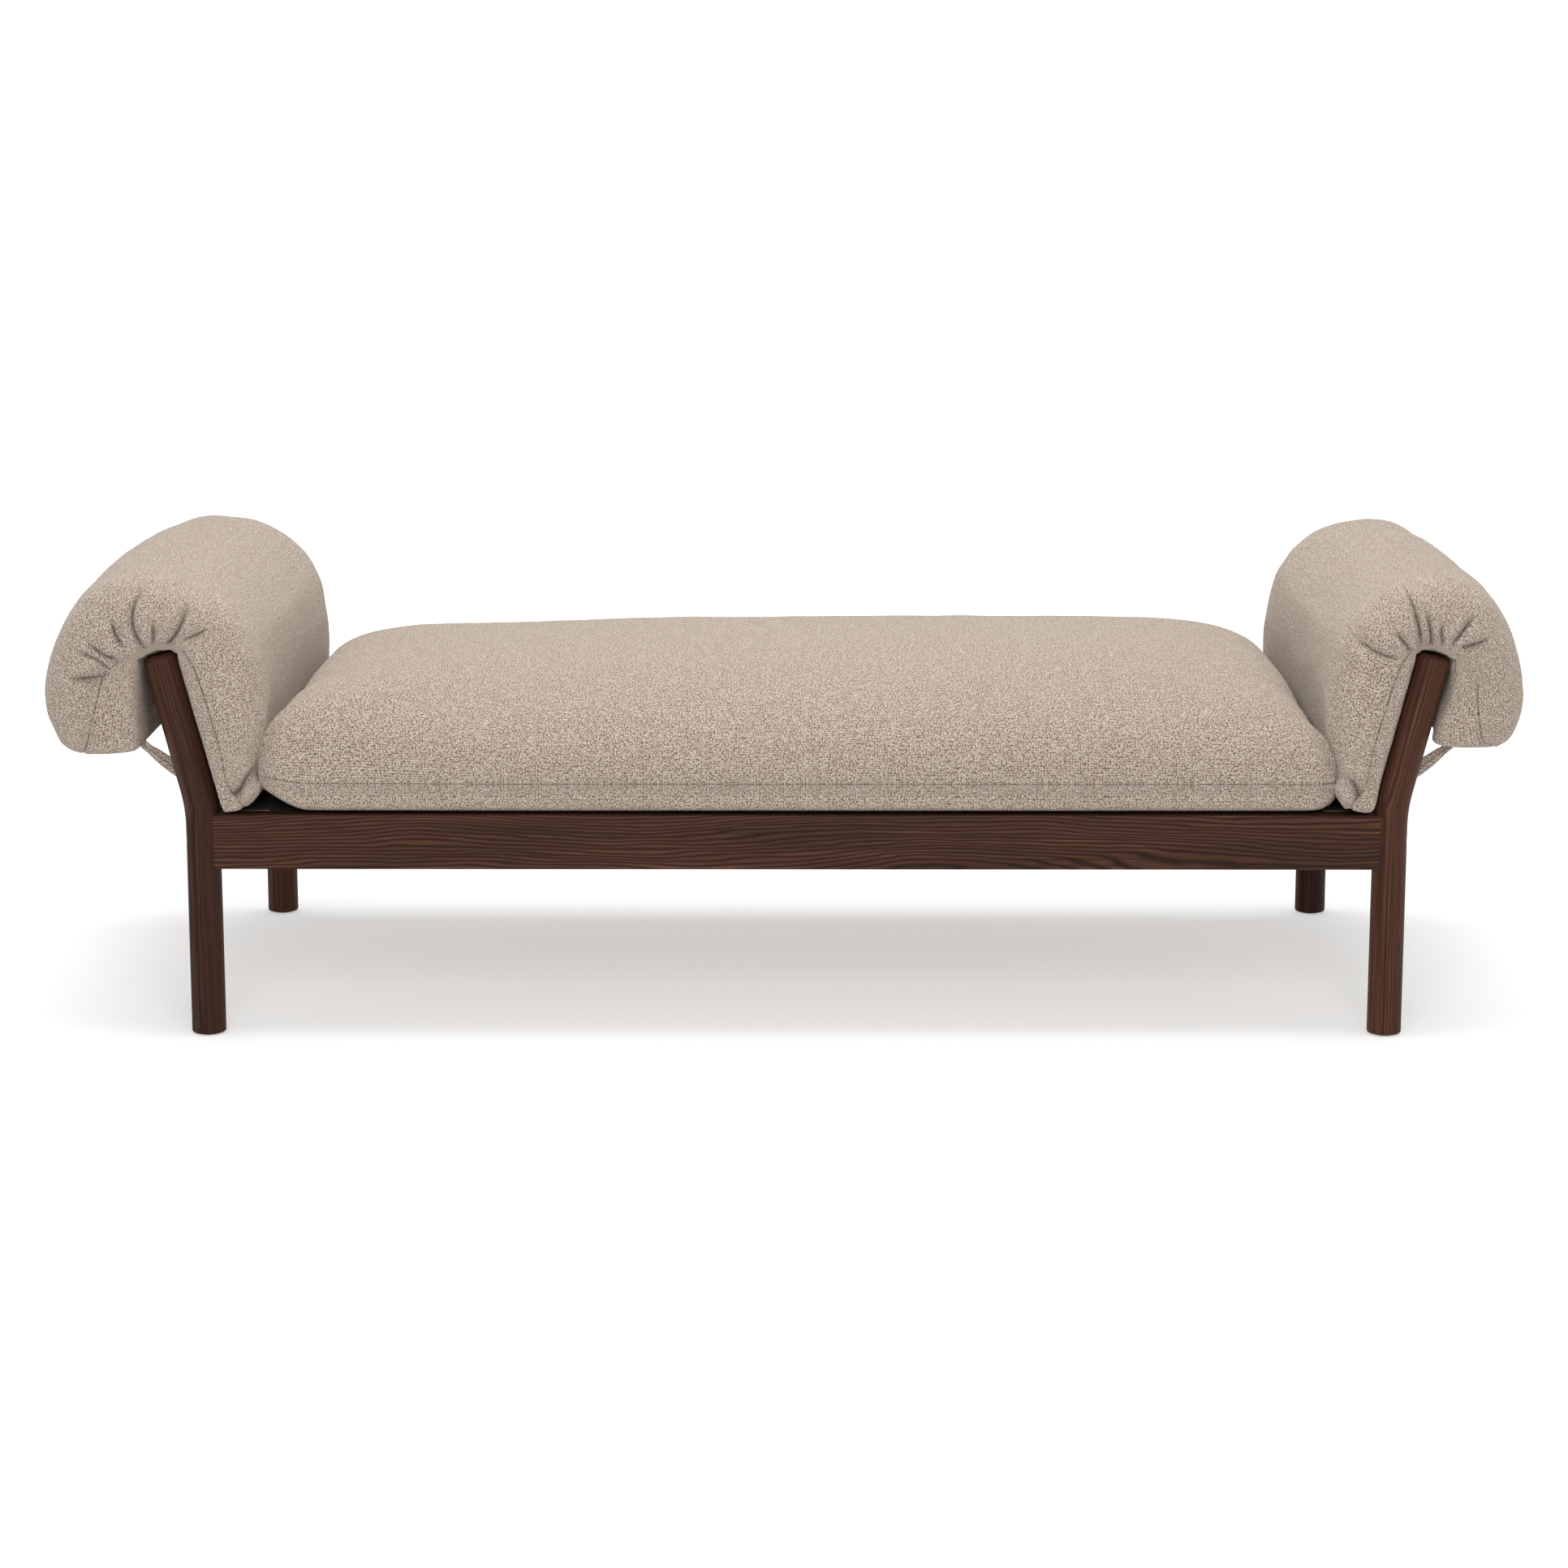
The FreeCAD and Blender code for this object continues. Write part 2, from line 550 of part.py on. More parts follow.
def make_bolster(name, place):
    """One bolster: core, cover, zip tape and slider, two straps and the patches they press on."""
    pad = bolster_solid(0)
    cover = pad.cut(bolster_solid(COVER_T)).cut(bolster_zip_strip(FIT))
    slider = zip_slider()
    slider.rotate(Vector(0, 0, 0), Z_AXIS, 90)
    slider.translate(Vector(PAD_FACE, BOLSTER_ZIP_Y - SLIDER_REST, BOLSTER_ZIP_Z))
    pieces = {
        "core": bolster_solid(COVER_T + COVER_GAP),
        "cover": cover,
        "zip_tape": bolster_zip_strip(0),
        "zip_slider": slider,
        "front_strap": strap(-1),
        "rear_strap": strap(1),
        "strap_patches": group([strap_patch(sy) for sy in (-1, 1)]),
    }
    for piece, shape in pieces.items():
        NODES[name + "_bolster_" + piece] = place(shape)


# ---- assembly -----------------------------------------------------------------------------------
def make_frame():
    """Posts, rails, deck and every fastener."""
    for name, sx, sy in CORNERS:
        NODES[name + "_post"] = post(sx, sy)
        NODES[name + "_glide"] = glide(sx, sy)
    for name, sy in (("front", -1), ("rear", 1)):
        NODES[name + "_rail"] = long_rail(sy)
        NODES[name + "_ledger"] = ledger(sy)
    for name, sx in (("left", -1), ("right", 1)):
        NODES[name + "_end_rail"] = end_rail(sx)
        NODES[name + "_top_rail"] = top_rail(sx)
    for number in range(SLAT_COUNT):
        NODES["slat_%02d" % (number + 1)] = slat(number)
    NODES["centre_brace"] = centre_brace()
    NODES["deck_cloth"] = deck_cloth()
    places = [(sx, sy) for _, sx, sy in CORNERS]
    NODES["rail_bolts"] = group([rail_bolt(sx, sy, 0) for sx, sy in places])
    NODES["barrel_nuts"] = group([barrel_nut(sx, sy) for sx, sy in places])
    NODES["rail_dowels"] = group([d for sx, sy in places for d in rail_dowels(sx, sy, 0)])
    NODES["end_rail_dowels"] = group([d for sx, sy in places for d in end_rail_dowels(sx, sy, 0)])
    NODES["top_rail_dowels"] = group([top_rail_dowel(sx, sy, 0) for sx, sy in places])
    NODES["brace_dowels"] = group(brace_dowels(-1, 0) + brace_dowels(1, 0))
    NODES["ledger_screws"] = group(ledger_screws(-1) + ledger_screws(1))
    NODES["slat_screws"] = group([s for number in range(SLAT_COUNT) for s in slat_screws(number)])


make_frame()
make_seat()
make_bolster("right", lambda shape: shape)
make_bolster("left", mirrored)

os.makedirs("parts", exist_ok=True)
for node, shape in NODES.items():
    shape.exportStep(os.path.join("parts", node + ".step"))
    bad = [s for s in shape.Solids if not s.isValid() or s.Volume <= 0]
    print("%-28s %2d solids %12.1f mm3%s" % (node, len(shape.Solids), shape.Volume, "  BAD" if bad else ""))
print(len(NODES), "nodes")
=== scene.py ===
import math
import bpy
import numpy as np
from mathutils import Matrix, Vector, noise


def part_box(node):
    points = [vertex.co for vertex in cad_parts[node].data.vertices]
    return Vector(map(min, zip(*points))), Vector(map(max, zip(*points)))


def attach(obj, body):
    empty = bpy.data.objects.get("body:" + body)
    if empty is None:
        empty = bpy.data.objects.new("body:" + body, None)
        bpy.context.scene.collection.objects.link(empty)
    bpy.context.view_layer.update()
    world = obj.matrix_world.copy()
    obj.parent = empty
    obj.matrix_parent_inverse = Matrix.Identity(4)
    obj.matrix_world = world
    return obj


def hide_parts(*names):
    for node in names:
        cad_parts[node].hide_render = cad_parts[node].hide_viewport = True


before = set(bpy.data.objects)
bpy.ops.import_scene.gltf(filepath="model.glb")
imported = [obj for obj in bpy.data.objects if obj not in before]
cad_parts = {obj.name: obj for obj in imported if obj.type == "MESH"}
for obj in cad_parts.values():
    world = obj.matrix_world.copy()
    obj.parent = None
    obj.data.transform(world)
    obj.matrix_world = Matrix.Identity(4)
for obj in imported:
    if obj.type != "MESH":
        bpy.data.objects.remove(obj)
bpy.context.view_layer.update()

# A daybed in dark stained ash with an oatmeal seat cushion and two saddle bolsters. The wooden frame and
# the metal pieces come from the CAD frame and get materials; the soft pieces are made here, in metres.
# +X is right, +Y is back, +Z is up. Shapes of one end are made on the +X side and mirrored.

MM = 0.001
SIDES = (("left", -1), ("right", 1))
ENDS = (("front", -1), ("rear", 1))

# ---- places read from the frame ----
def corners(node):
    """A CAD node's lower and upper corner, as arrays."""
    return [np.array(corner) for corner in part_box(node)]


rail_low, rail_high = corners("right_top_rail")
post_low, post_high = corners("front_right_post")
deck_low, deck_high = corners("deck_cloth")
seat_zip_low, seat_zip_high = corners("seat_zip_tape")
pad_zip_low = corners("right_bolster_zip_tape")[0]
bolster_low, bolster_high = corners("right_bolster_cover")
seat_high = corners("seat_cover_top")[1]
SEAM_Z = corners("seat_cover_base")[1][2]
SLATS = ["slat_%02d" % number for number in range(1, 13)]
TOP_RAIL = (rail_low + rail_high) / 2
POST_R = (post_high[1] - post_low[1]) / 2
LEG_X = post_low[0] + POST_R
LEAN = math.radians(14.0)  # of the posts above their bend
POST_BEND = TOP_RAIL[2] - (TOP_RAIL[0] - LEG_X) / math.tan(LEAN)

# ---- the cloth solver ----
SIM_FRAMES = 20
PUFF_PRESSURE = 1.2
PUFF_CAP = 2 * MM  # how far the solver may move a point
CLOTH_QUALITY = 6
CLOTH_MASS = 0.35
CLOTH_STRETCH = 12  # stiffness against tension and compression
CLOTH_SHEAR = 4
CLOTH_BEND = 0.6

# ---- seat cushion ----
SEAT_COLUMNS = 121  # grid of the seat cushion, before its subdivision
SEAT_ROWS = 81
SEAT_CROWD = (1.6, 1.8)  # how the grid crowds towards the ends, and towards the front and back
SEAT_END_REACH = 22 * MM  # how far the seat's front and back corners spread past the bolsters' faces
SEAT_SPREAD = (0.31, 0.37)  # distance from the middle, front to back, over which they spread
SEAT_CORNER = 42 * MM
CORNER_POWER = 8  # of the superellipse that rounds a corner
SEAT_TOP_P = 2.6  # how square the crown is from front to back, and from end to end
SEAT_END_P = 11.0
SEAT_TOP_ROOT = 2.2  # how steeply the crown rises from the seam, in the same two directions
SEAT_END_ROOT = 2.6
SEAT_LEFT_P = 3.4  # added to SEAT_TOP_P at the front of the left end
SEAT_DISH = 0.04  # how far the crown falls towards its ends, as a share of its height
SEAT_LEFT_DROP = 9 * MM  # the crown is a little lower towards the left
BASE_P = (60, 70)  # how square the base is, in the same two directions
SEAT_REST = 0.6 * MM  # between the base's middle and the deck, before the solver
CURL_X = (0.655, 0.725)  # where the front left corner curls up from the deck
CURL_Y = (0.28, 0.38)
CURL_RISE = 8 * MM
CURL_THIN = 0.45  # share of the base's depth lost there
SEAT_LUMPS = ((2.2 * MM, 0.17), (0.8 * MM, 0.05))  # soft unevenness: height and size
SEAT_PUCKER = (0.9 * MM, 0.018)
SEAT_PUCKER_REACH = 16 * MM
SEAT_GROOVE = (1.7 * MM, 5 * MM)  # depth and half width of the groove along the seam
ZIP_SEAT = 0.6 * MM  # how deep a zip's tape sits in its cushion

# ---- bolsters ----
BOLSTER_ROWS = 91
BOLSTER_STEPS = 8  # columns between two stations of a bolster's outline
END_DEPTH = 92 * MM  # over which a bolster's outer panel rounds off at its ends
UNDER_DEPTH = 21 * MM  # and its inner panel
END_POWER = 0.74  # below 1 the rounding is fuller than a quarter ellipse
TIP_DEPTH = 0.42  # share of END_DEPTH at the lower edge of the inner pad, which stays plump
BELLY = {"left": 33 * MM, "right": 23 * MM}  # how far a bolster's middle stands out past its ends
SHOULDER = 10.8  # the station at the middle of the shoulder
SHOULDER_WIDTH = 2.6  # and how many stations it spreads over
PAD_CORNER = 46 * MM  # rounding of a bolster's four corners
CORNER_STATIONS = 1.5  # stations over which a corner is rounded
MIDDLE_SHARE = 0.5  # share of a bolster's rows in its even middle part
POST_GAP = 0.8 * MM  # between a post and the inner pad
BACK_BULGE = 27 * MM  # how far the inner pad's back stands out between the posts
BULGE_DROP = (0.05, 0.12, 0.165, 0.19)  # below the top rail: where it begins, is full, and ends
BULGE_REACH = (0.285, 0.322)  # from the middle, front to back: where it begins to fade, and is gone
BULGE_SKIN = 6 * MM  # cloth this near to the pad's back moves with the bulge
BOLSTER_SEED = {"left": 11, "right": 23}
BOLSTER_LUMPS = ((3.0 * MM, 0.14), (1.0 * MM, 0.04))
RUMPLE = (1.6 * MM, 0.028)  # finer unevenness towards the ends
RUMPLED_ENDS = (0.26, 0.38)
SEAM_PUCKER = 0.013  # size of the puckers along a seam
SEAM_PUCKER_REACH = 16 * MM
RUFFLE = (1.2, 2.4)  # height of the puckers in millimetres, and what the saddle's edge adds
SEAM_GROOVE = (1.8 * MM, 4 * MM)
UNDER_CALM = (0.35, 0.5)  # share of the unevenness on the inner panel, and what its edge adds
SADDLE_TOP = (5 * MM, 25 * MM)  # a post's top end, outward and up from the middle of the top rail
SADDLE_RISE = 27 * MM  # height of the saddle's edge over a post
HIDDEN_SEAM = (-0.03, -0.015, 0.055, 0.075)  # outward of the top rail, where the seam's painted shade line and its groove are left out

# A bolster's outline at stations from the lower edge of its inner pad, over the top rail, to the lower
# edge of its outer pad: the outer panel, the seam at the ends, and the panel that faces the post.
# Millimetres outward and up from the middle of the top rail.
OUTLINE = (
    ((-100, -189), (-100, -189), (-100, -189)),
    ((-122, -168), (-102, -180), (-80, -188)),
    ((-121, -138), (-84, -150), (-66, -151)),
    ((-131, -92), (-74, -104), (-54, -105)),
    ((-130, -45), (-63, -61), (-43, -60)),
    ((-125, -2), (-51, -18), (-33, -18)),
    ((-114, 40), (-38, 16), (-23, 20)),
    ((-88, 79), (-21, 37), (-14, 31)),
    ((-44, 107), (-3, 41), (-1, 31)),
    ((12, 114), (17, 36), (13, 28)),
    ((60, 104), (38, 25), (25, 21)),
    ((98, 79), (59, 12), (33, 3)),
    ((131, 41), (76, -5), (34, -28)),
    ((156, -6), (85, -38), (34, -57)),
    ((165, -50), (94, -72), (33, -85)),
    ((148, -96), (103, -102), (40, -108)),
    ((112, -116), (112, -116), (112, -116)),
)
INNER_STATIONS = range(1, 7)  # stations whose inner panel lies flat along the post
OVERHANG_FROM = 20  # the outer pad's reach past this is scaled at each end
OVERHANG = {"left": 1.0, "right": 0.77}
HANG_FROM = -60  # and its drop past this
HANG = {"left": 1.0, "right": 0.8}
HUG = {"left": 0.0, "right": 22 * MM}  # how far the outer pad's lower edge closes in on the post
SEAM_HUG = 0.6  # share of that for the seam
SET_BACK = {"left": 0.03, "right": 0.0}  # how the inner pad's ends draw away from the post, per drop
SET_BACK_ENDS = (0.33, 0.38)
GATHER_DEPTH = 1.3  # scales every crease's depth
FOLD_SHADE_HALF_WIDTH = 1.8  # half width in millimetres of the painted shade line in a crease
GATHER_ENDS = (0.27, 0.34)  # distance from the middle, front to back, over which creases begin
GATHER_FACING = (0.02, 0.4)  # and how far the cloth has to face the front or the back
RIDGE = (0.55, 2.6, 1.7)  # height of the ridges beside a crease, their place and their width

# Gathers round the post tops, in front view: outer end and inner end in millimetres outward and up from
# the post's top, the bow of the line, and its depth and half width.
GATHERS = {
    "left": (
        ((14, 92), (22, 16), 15, 6.5, 4.0),
        ((-40, 73), (-16, 16), -6, 6.0, 4.0),
        ((4, 45), (4, 18), 0, 4.0, 3.0),
        ((60, 50), (48, 16), 3, 4.5, 3.5),
        ((98, 24), (56, -6), 4, 5.0, 4.5),
        ((124, -30), (72, -27), 3, 5.5, 5.0),
        ((112, 4), (66, -16), -4, 3.5, 4.0),
        ((-30, 20), (-62, 32), 2, 2.5, 6.0),
        ((-124, -150), (-98, -188), -4, 9.0, 5.0),
    ),
    "right": (
        ((-42, 91), (-22, 22), 3, 5.5, 3.5),
        ((-18, 66), (-8, 18), 2, 5.5, 3.2),
        ((8, 44), (7, 18), -2, 3.5, 3.0),
        ((54, 56), (22, 18), 0, 5.0, 3.6),
        ((77, 26), (34, 12), 2, 5.0, 3.6),
        ((-112, 28), (-60, -3), -4, 3.5, 7.0),
        ((-57, 34), (-36, 8), 0, 4.5, 4.0),
        ((28, -2), (18, -30), 2, 4.0, 3.5),
        ((-118, -162), (-96, -194), 4, 9.0, 6.0),
    ),
}

# ---- straps, zips and deck cloth ----
STRAP_SLOPE = math.radians(31.5)
STRAP_REACH = 113 * MM
STRAP_HINGE = (9 * MM, 16 * MM)  # inward and down from the outer top corner of the strap's CAD node
STRAP_SAG = 5 * MM
STRAP_WIDTH = 10 * MM  # half of it
STRAP_THICK = 1.9 * MM  # half of it
STRAP_ROOT = 0.26  # how far a strap's sewn end goes into the pad, as a share of its length
STRAP_NARROW = 0.60  # width of a strap where it is sewn to the outer pad, as a share of its middle
STRAP_TIP = 0.55  # width of its very ends
STRAP_STITCH = (0.45, 0.16)  # depth and half width of the stitched groove along its middle
STRAP_ROUND = 0.7  # below 1 its cross section is squarer than an ellipse
STRAP_RINGS = 48
STRAP_SIDES = 16
TOOTH_PITCH = 2.2 * MM
TOOTH_WIDTH = 1.3 * MM
TOOTH_HALF = 2.0 * MM
TOOTH_STAGGER = 1.0 * MM
TOOTH_STANDS = 0.25 * MM
TAPE_DEPTH = (0.3 * MM, 0.1 * MM)  # inward and outward of the CAD tape's outer face
DECK_GRID = (240, 60)
DECK_OVER = 0.4 * MM  # how far the deck cloth reaches past its CAD node at the front and back
DECK_SAG = (0.05, 0.7 * MM)  # sag between the slats: per distance from a slat, and at most
DECK_TUCK = 6 * MM  # how far the cloth's long edges are tucked down between the slats

# ---- colours, as display values, and the sizes in the materials ----
YARN_W = 2.1 * MM
YARN_H = 2.9 * MM
YARN_DRIFT = 1.1 * MM
WEAVE_TONES = (
    (0.22, (86, 72, 62)),
    (0.36, (131, 117, 105)),
    (0.52, (166, 153, 141)),
    (0.74, (203, 194, 182)),
)
WEAVE_BROAD = (150, 137, 124)  # large soft patches
WEAVE_DASH = (132, 108, 88)  # brown dashes along the rows
WEAVE_PAINTED_SHADE = (50, 40, 33)  # painted shade in a seam or a crease
WEAVE_SHEEN = (232, 222, 208)
# width of the painted shade line along a seam, which is also a groove in the bump
SEAM_LINE = 1.6 * MM
RING_SLOPE = (0.62, 0.78)  # how the rings lie across the two directions square to the grain
# how far the growth rings wander, their spacing, their strength, and their stretch along the grain
RAIL_GRAIN = (62 * MM, 4.1 * MM, 0.80, 0.16)
POST_GRAIN = (6 * MM, 2.7 * MM, 0.62, 0.07)
WOOD_LINE = (24, 12, 8)
WOOD_LOW = (46, 25, 16)
WOOD_MID = (72, 43, 29)
WOOD_HIGH = (100, 65, 46)
ZIP_TAPE = ((150, 136, 120), (186, 172, 154))
NYLON = ((18, 18, 19), (34, 34, 36))
LOOP_PILE = ((120, 108, 96), (168, 154, 138))
DECK_BLACK = ((10, 9, 9), (28, 26, 26))
PALE_LENGTHWISE = ((170, 138, 100), (205, 176, 138))
PALE_CROSSWISE = ((172, 140, 101), (208, 178, 140))
BEECH = ((176, 140, 104), (206, 172, 134))
ZINC = (178, 180, 182)
YELLOW_ZINC = (190, 164, 98)
OLD_BRASS = (120, 112, 100)

# ---- stage ----
WORLD_LIGHT = 0.62
WORLD_SEEN = 1.1  # brightness of the background itself
FLOOR_HALF = 40
FLOOR_TONES = (0.56, 0.57)
FLOOR_GLOW = (0.44, 0.85)  # the floor's own light under the daybed, and far from it
GLOW_REACH = (1.2, 3.2)  # metres from the middle of the daybed over which it grows
LIGHTS = (
    ("overhead", (0, 0.2, 3.4), (0, 0.1, 0.3), (4.4, 2.6), 134),
    ("front", (0, -4.6, 2.4), (0, 0, 0.4), (3.0, 2.0), 122),
)
CAMERA_LENS = 85
CAMERA_SENSOR = 36
CAMERA_PLACE = (0, -5.2406, 1.2856)
CAMERA_TILT = 10.942
CAMERA_YAW = 0.195


def smooth_line(points, count):
    """A smooth line through given points, with the same number of steps between each two."""
    points = np.array(points, float)
    ends = np.vstack([2 * points[0] - points[1], points, 2 * points[-1] - points[-2]])
    place = np.linspace(0, len(points) - 1, count)
    first = np.minimum(place.astype(int), len(points) - 2)
    t = (place - first)[:, None]
    a, b, c, d = (ends[first + k] for k in range(4))
    square = 2 * a - 5 * b + 4 * c - d
    cube = 3 * b - a - 3 * c + d
    return 0.5 * (2 * b + (c - a) * t + square * t ** 2 + cube * t ** 3)


def smooth_step(value, low, high):
    """0 below low, 1 above high, and a smooth change between them."""
    t = np.clip((value - low) / (high - low), 0, 1)
    return t * t * (3 - 2 * t)


def noise_field(points, size, seed):
    """Smooth noise, about -1 to 1, with lumps of a given size."""
    shift = Vector((seed * 7.31, seed * 3.17, seed * 5.71))
    return np.array([noise.noise(Vector(p) / size + shift) for p in points])


def lumps(points, layers, seed):
    """Several noises laid over each other, each with its height and its size."""
    return sum(height * noise_field(points, size, seed + k) for k, (height, size) in enumerate(layers))


def near(away, width):
    """1 at a seam, and nothing a few widths away from it."""
    return np.exp(-(away / width) ** 2)


def run_lengths(grid, axis):
    """Length along a grid's rows or columns, measured from the middle."""
    steps = np.linalg.norm(np.diff(grid, axis=axis), axis=2)
    zero = np.zeros_like(np.take(steps, [0], axis=axis))
    total = np.concatenate([zero, np.cumsum(steps, axis=axis)], axis=axis)
    return total - np.take(total, [grid.shape[axis] // 2], axis=axis)


def border_distance(grid, axes):
    """Distance along the cloth from the nearest sewn border."""
    best = np.full(grid.shape[:2], 9.0)
    for axis in axes:
        length = run_lengths(grid, axis)
        low = np.abs(length - np.take(length, [0], axis=axis))
        high = np.abs(np.take(length, [-1], axis=axis) - length)
        best = np.minimum(best, np.minimum(low, high))
    return best


def new_object(name, verts, faces):
    """A mesh object in the scene."""
    mesh = bpy.data.meshes.new(name)
    mesh.from_pydata([tuple(v) for v in verts], [], [tuple(int(i) for i in f) for f in faces])
    mesh.update()
    piece = bpy.data.objects.new(name, mesh)
    bpy.context.scene.collection.objects.link(piece)
    return piece


def set_attribute(piece, name, values):
    """Stores one vector per vertex, which a material or a later step reads."""
    layer = piece.data.attributes.new(name, "FLOAT_VECTOR", "POINT")
    layer.data.foreach_set("vector", np.asarray(values, np.float32).ravel())


def get_attribute(piece, name):
    """The vectors that set_attribute stored, after any subdivision."""
    values = np.empty(len(piece.data.vertices) * 3, np.float32)
    piece.data.attributes[name].data.foreach_get("vector", values)
    return values.reshape(-1, 3).astype(float)


def get_points(piece, what="co"):
    """Vertex places, or their normals."""
    values = np.empty(len(piece.data.vertices) * 3, np.float32)
    if what == "co":
        piece.data.vertices.foreach_get("co", values)
    else:
        piece.data.vertex_normals.foreach_get("vector", values)
    return values.reshape(-1, 3).astype(float)


def set_points(piece, points):
    """Moves every vertex."""
    piece.data.vertices.foreach_set("co", np.asarray(points, np.float32).ravel())
    piece.data.update()


def pillow(name, upper, under, sewn_axes, own_axis, shared_line):
    """A closed cushion of two panels, given as grids of points that share their border.

    The weave of both panels is laid out by lengths along one line of the upper panel, and across it by each
    panel's own lengths, so that it stays even and meets at the seam.

    The attribute cloth holds the place on the cloth in metres, and the attribute sewn holds the distance
    from the seam, the panel (1 or 0) and how deep in a crease the point is."""
    rows, columns = upper.shape[:2]
    top = np.arange(rows * columns).reshape(rows, columns)
    low = top.copy()
    inner = np.arange((rows - 2) * (columns - 2)).reshape(rows - 2, columns - 2) + rows * columns
    low[1:-1, 1:-1] = inner
    faces = []
    for index, flip in ((top, True), (low, False)):
        quads = np.stack([index[:-1, :-1], index[:-1, 1:], index[1:, 1:], index[1:, :-1]], axis=-1)
        quads = quads.reshape(-1, 4)
        faces.append(quads[:, ::-1] if flip else quads)
    verts = np.vstack([upper.reshape(-1, 3), under[1:-1, 1:-1].reshape(-1, 3)])
    piece = new_object(name, verts, np.vstack(faces))
    cloth, sewn = [], []
    shared = run_lengths(upper, 1 - own_axis)
    shared = np.take(shared, [shared_line], axis=own_axis) + np.zeros(upper.shape[:2])
    border = np.abs(run_lengths(upper, own_axis)).max(axis=own_axis).mean()
    for grid, panel in ((upper, 1.0), (under, 0.0)):
        own = run_lengths(grid, own_axis).mean(axis=1 - own_axis, keepdims=True) + np.zeros(grid.shape[:2])
        own *= border / np.abs(own).max()
        pair = (own, shared) if own_axis == 0 else (shared, own)
        place = np.stack([*pair, np.full(grid.shape[:2], panel)], axis=-1)
        away = border_distance(grid, sewn_axes)
        facts = np.stack([away, np.full(grid.shape[:2], panel), np.zeros(grid.shape[:2])], axis=-1)
        keep = (slice(None), slice(None)) if panel else (slice(1, -1), slice(1, -1))
        cloth.append(place[keep].reshape(-1, 3))
        sewn.append(facts[keep].reshape(-1, 3))
    set_attribute(piece, "cloth", np.vstack(cloth))
    set_attribute(piece, "sewn", np.vstack(sewn))
    return piece


def apply_modifiers(piece):
    """Turns the piece into its evaluated mesh."""
    graph = bpy.context.evaluated_depsgraph_get()
    graph.update()
    mesh = bpy.data.meshes.new_from_object(piece.evaluated_get(graph), depsgraph=graph)
    piece.modifiers.clear()
    piece.data = mesh


def puff(piece):
    """Inflates a cushion for a moment with the cloth solver, and caps how far a point may move."""
    before = get_points(piece)
    cloth = piece.modifiers.new("cloth", "CLOTH")
    cloth.settings.effector_weights.gravity = 0
    cloth.settings.use_pressure = True
    cloth.settings.uniform_pressure_force = PUFF_PRESSURE
    cloth.settings.quality = CLOTH_QUALITY
    cloth.settings.mass = CLOTH_MASS
    cloth.settings.tension_stiffness = CLOTH_STRETCH
    cloth.settings.compression_stiffness = CLOTH_STRETCH
    cloth.settings.shear_stiffness = CLOTH_SHEAR
    cloth.settings.bending_stiffness = CLOTH_BEND
    cloth.point_cache.frame_start = 1
    cloth.point_cache.frame_end = SIM_FRAMES
    for number in range(1, SIM_FRAMES + 1):
        bpy.context.scene.frame_set(number)
    graph = bpy.context.evaluated_depsgraph_get()
    mesh = bpy.data.meshes.new_from_object(piece.evaluated_get(graph), depsgraph=graph)
    after = np.empty(len(mesh.vertices) * 3, np.float32)
    mesh.vertices.foreach_get("co", after)
    bpy.data.meshes.remove(mesh)
    piece.modifiers.clear()
    bpy.context.scene.frame_set(1)
    move = after.reshape(-1, 3) - before
    size = np.linalg.norm(move, axis=1, keepdims=True)
    set_points(piece, before + move * np.minimum(1, PUFF_CAP / np.maximum(size, 1e-9)))


def subdivide(piece):
    """One round of subdivision, applied."""
    modifier = piece.modifiers.new("subdivision", "SUBSURF")
    modifier.levels = 1
    modifier.render_levels = 1
    apply_modifiers(piece)


def shade_smooth(piece):
    """Smooth shading on every face."""
    piece.data.polygons.foreach_set("use_smooth", [True] * len(piece.data.polygons))
    piece.data.update()


# ---- seat cushion ----
def edge_spaced(count, power):
    """Places from -1 to 1 that crowd towards both ends, so that a round edge gets enough points."""
    side = np.linspace(-1, 1, count)
    return np.sign(side) * (1 - (1 - np.abs(side)) ** power)


def crown(place, power, root):
    """Height share of a crowned panel: 1 in the middle, 0 at its ends."""
    return (1 - np.abs(place) ** power) ** (1 / root)


def seat_plan(across, along):
    """x and y of the seat's grid: a rectangle whose corners are rounded and whose ends fill the frame."""
    half_y = seat_high[1]
    y = along * half_y
    spread = SEAT_END_REACH * smooth_step(np.abs(y), *SEAT_SPREAD)
    half_x = seat_high[0] - 0.5 * MM + spread
    x = across * half_x
    dx = np.maximum(np.abs(x) - (half_x - SEAT_CORNER), 0) / SEAT_CORNER
    dy = np.maximum(np.abs(y) - (half_y - SEAT_CORNER), 0) / SEAT_CORNER
    square = (dx ** CORNER_POWER + dy ** CORNER_POWER) ** (1 / CORNER_POWER)
    shrink = np.where(square > 0, square / np.maximum(np.hypot(dx, dy), 1e-9), 1)
    x = np.sign(x) * (np.minimum(np.abs(x), half_x - SEAT_CORNER) + dx * SEAT_CORNER * shrink)
    y = np.sign(y) * (np.minimum(np.abs(y), half_y - SEAT_CORNER) + dy * SEAT_CORNER * shrink)
    return x, y


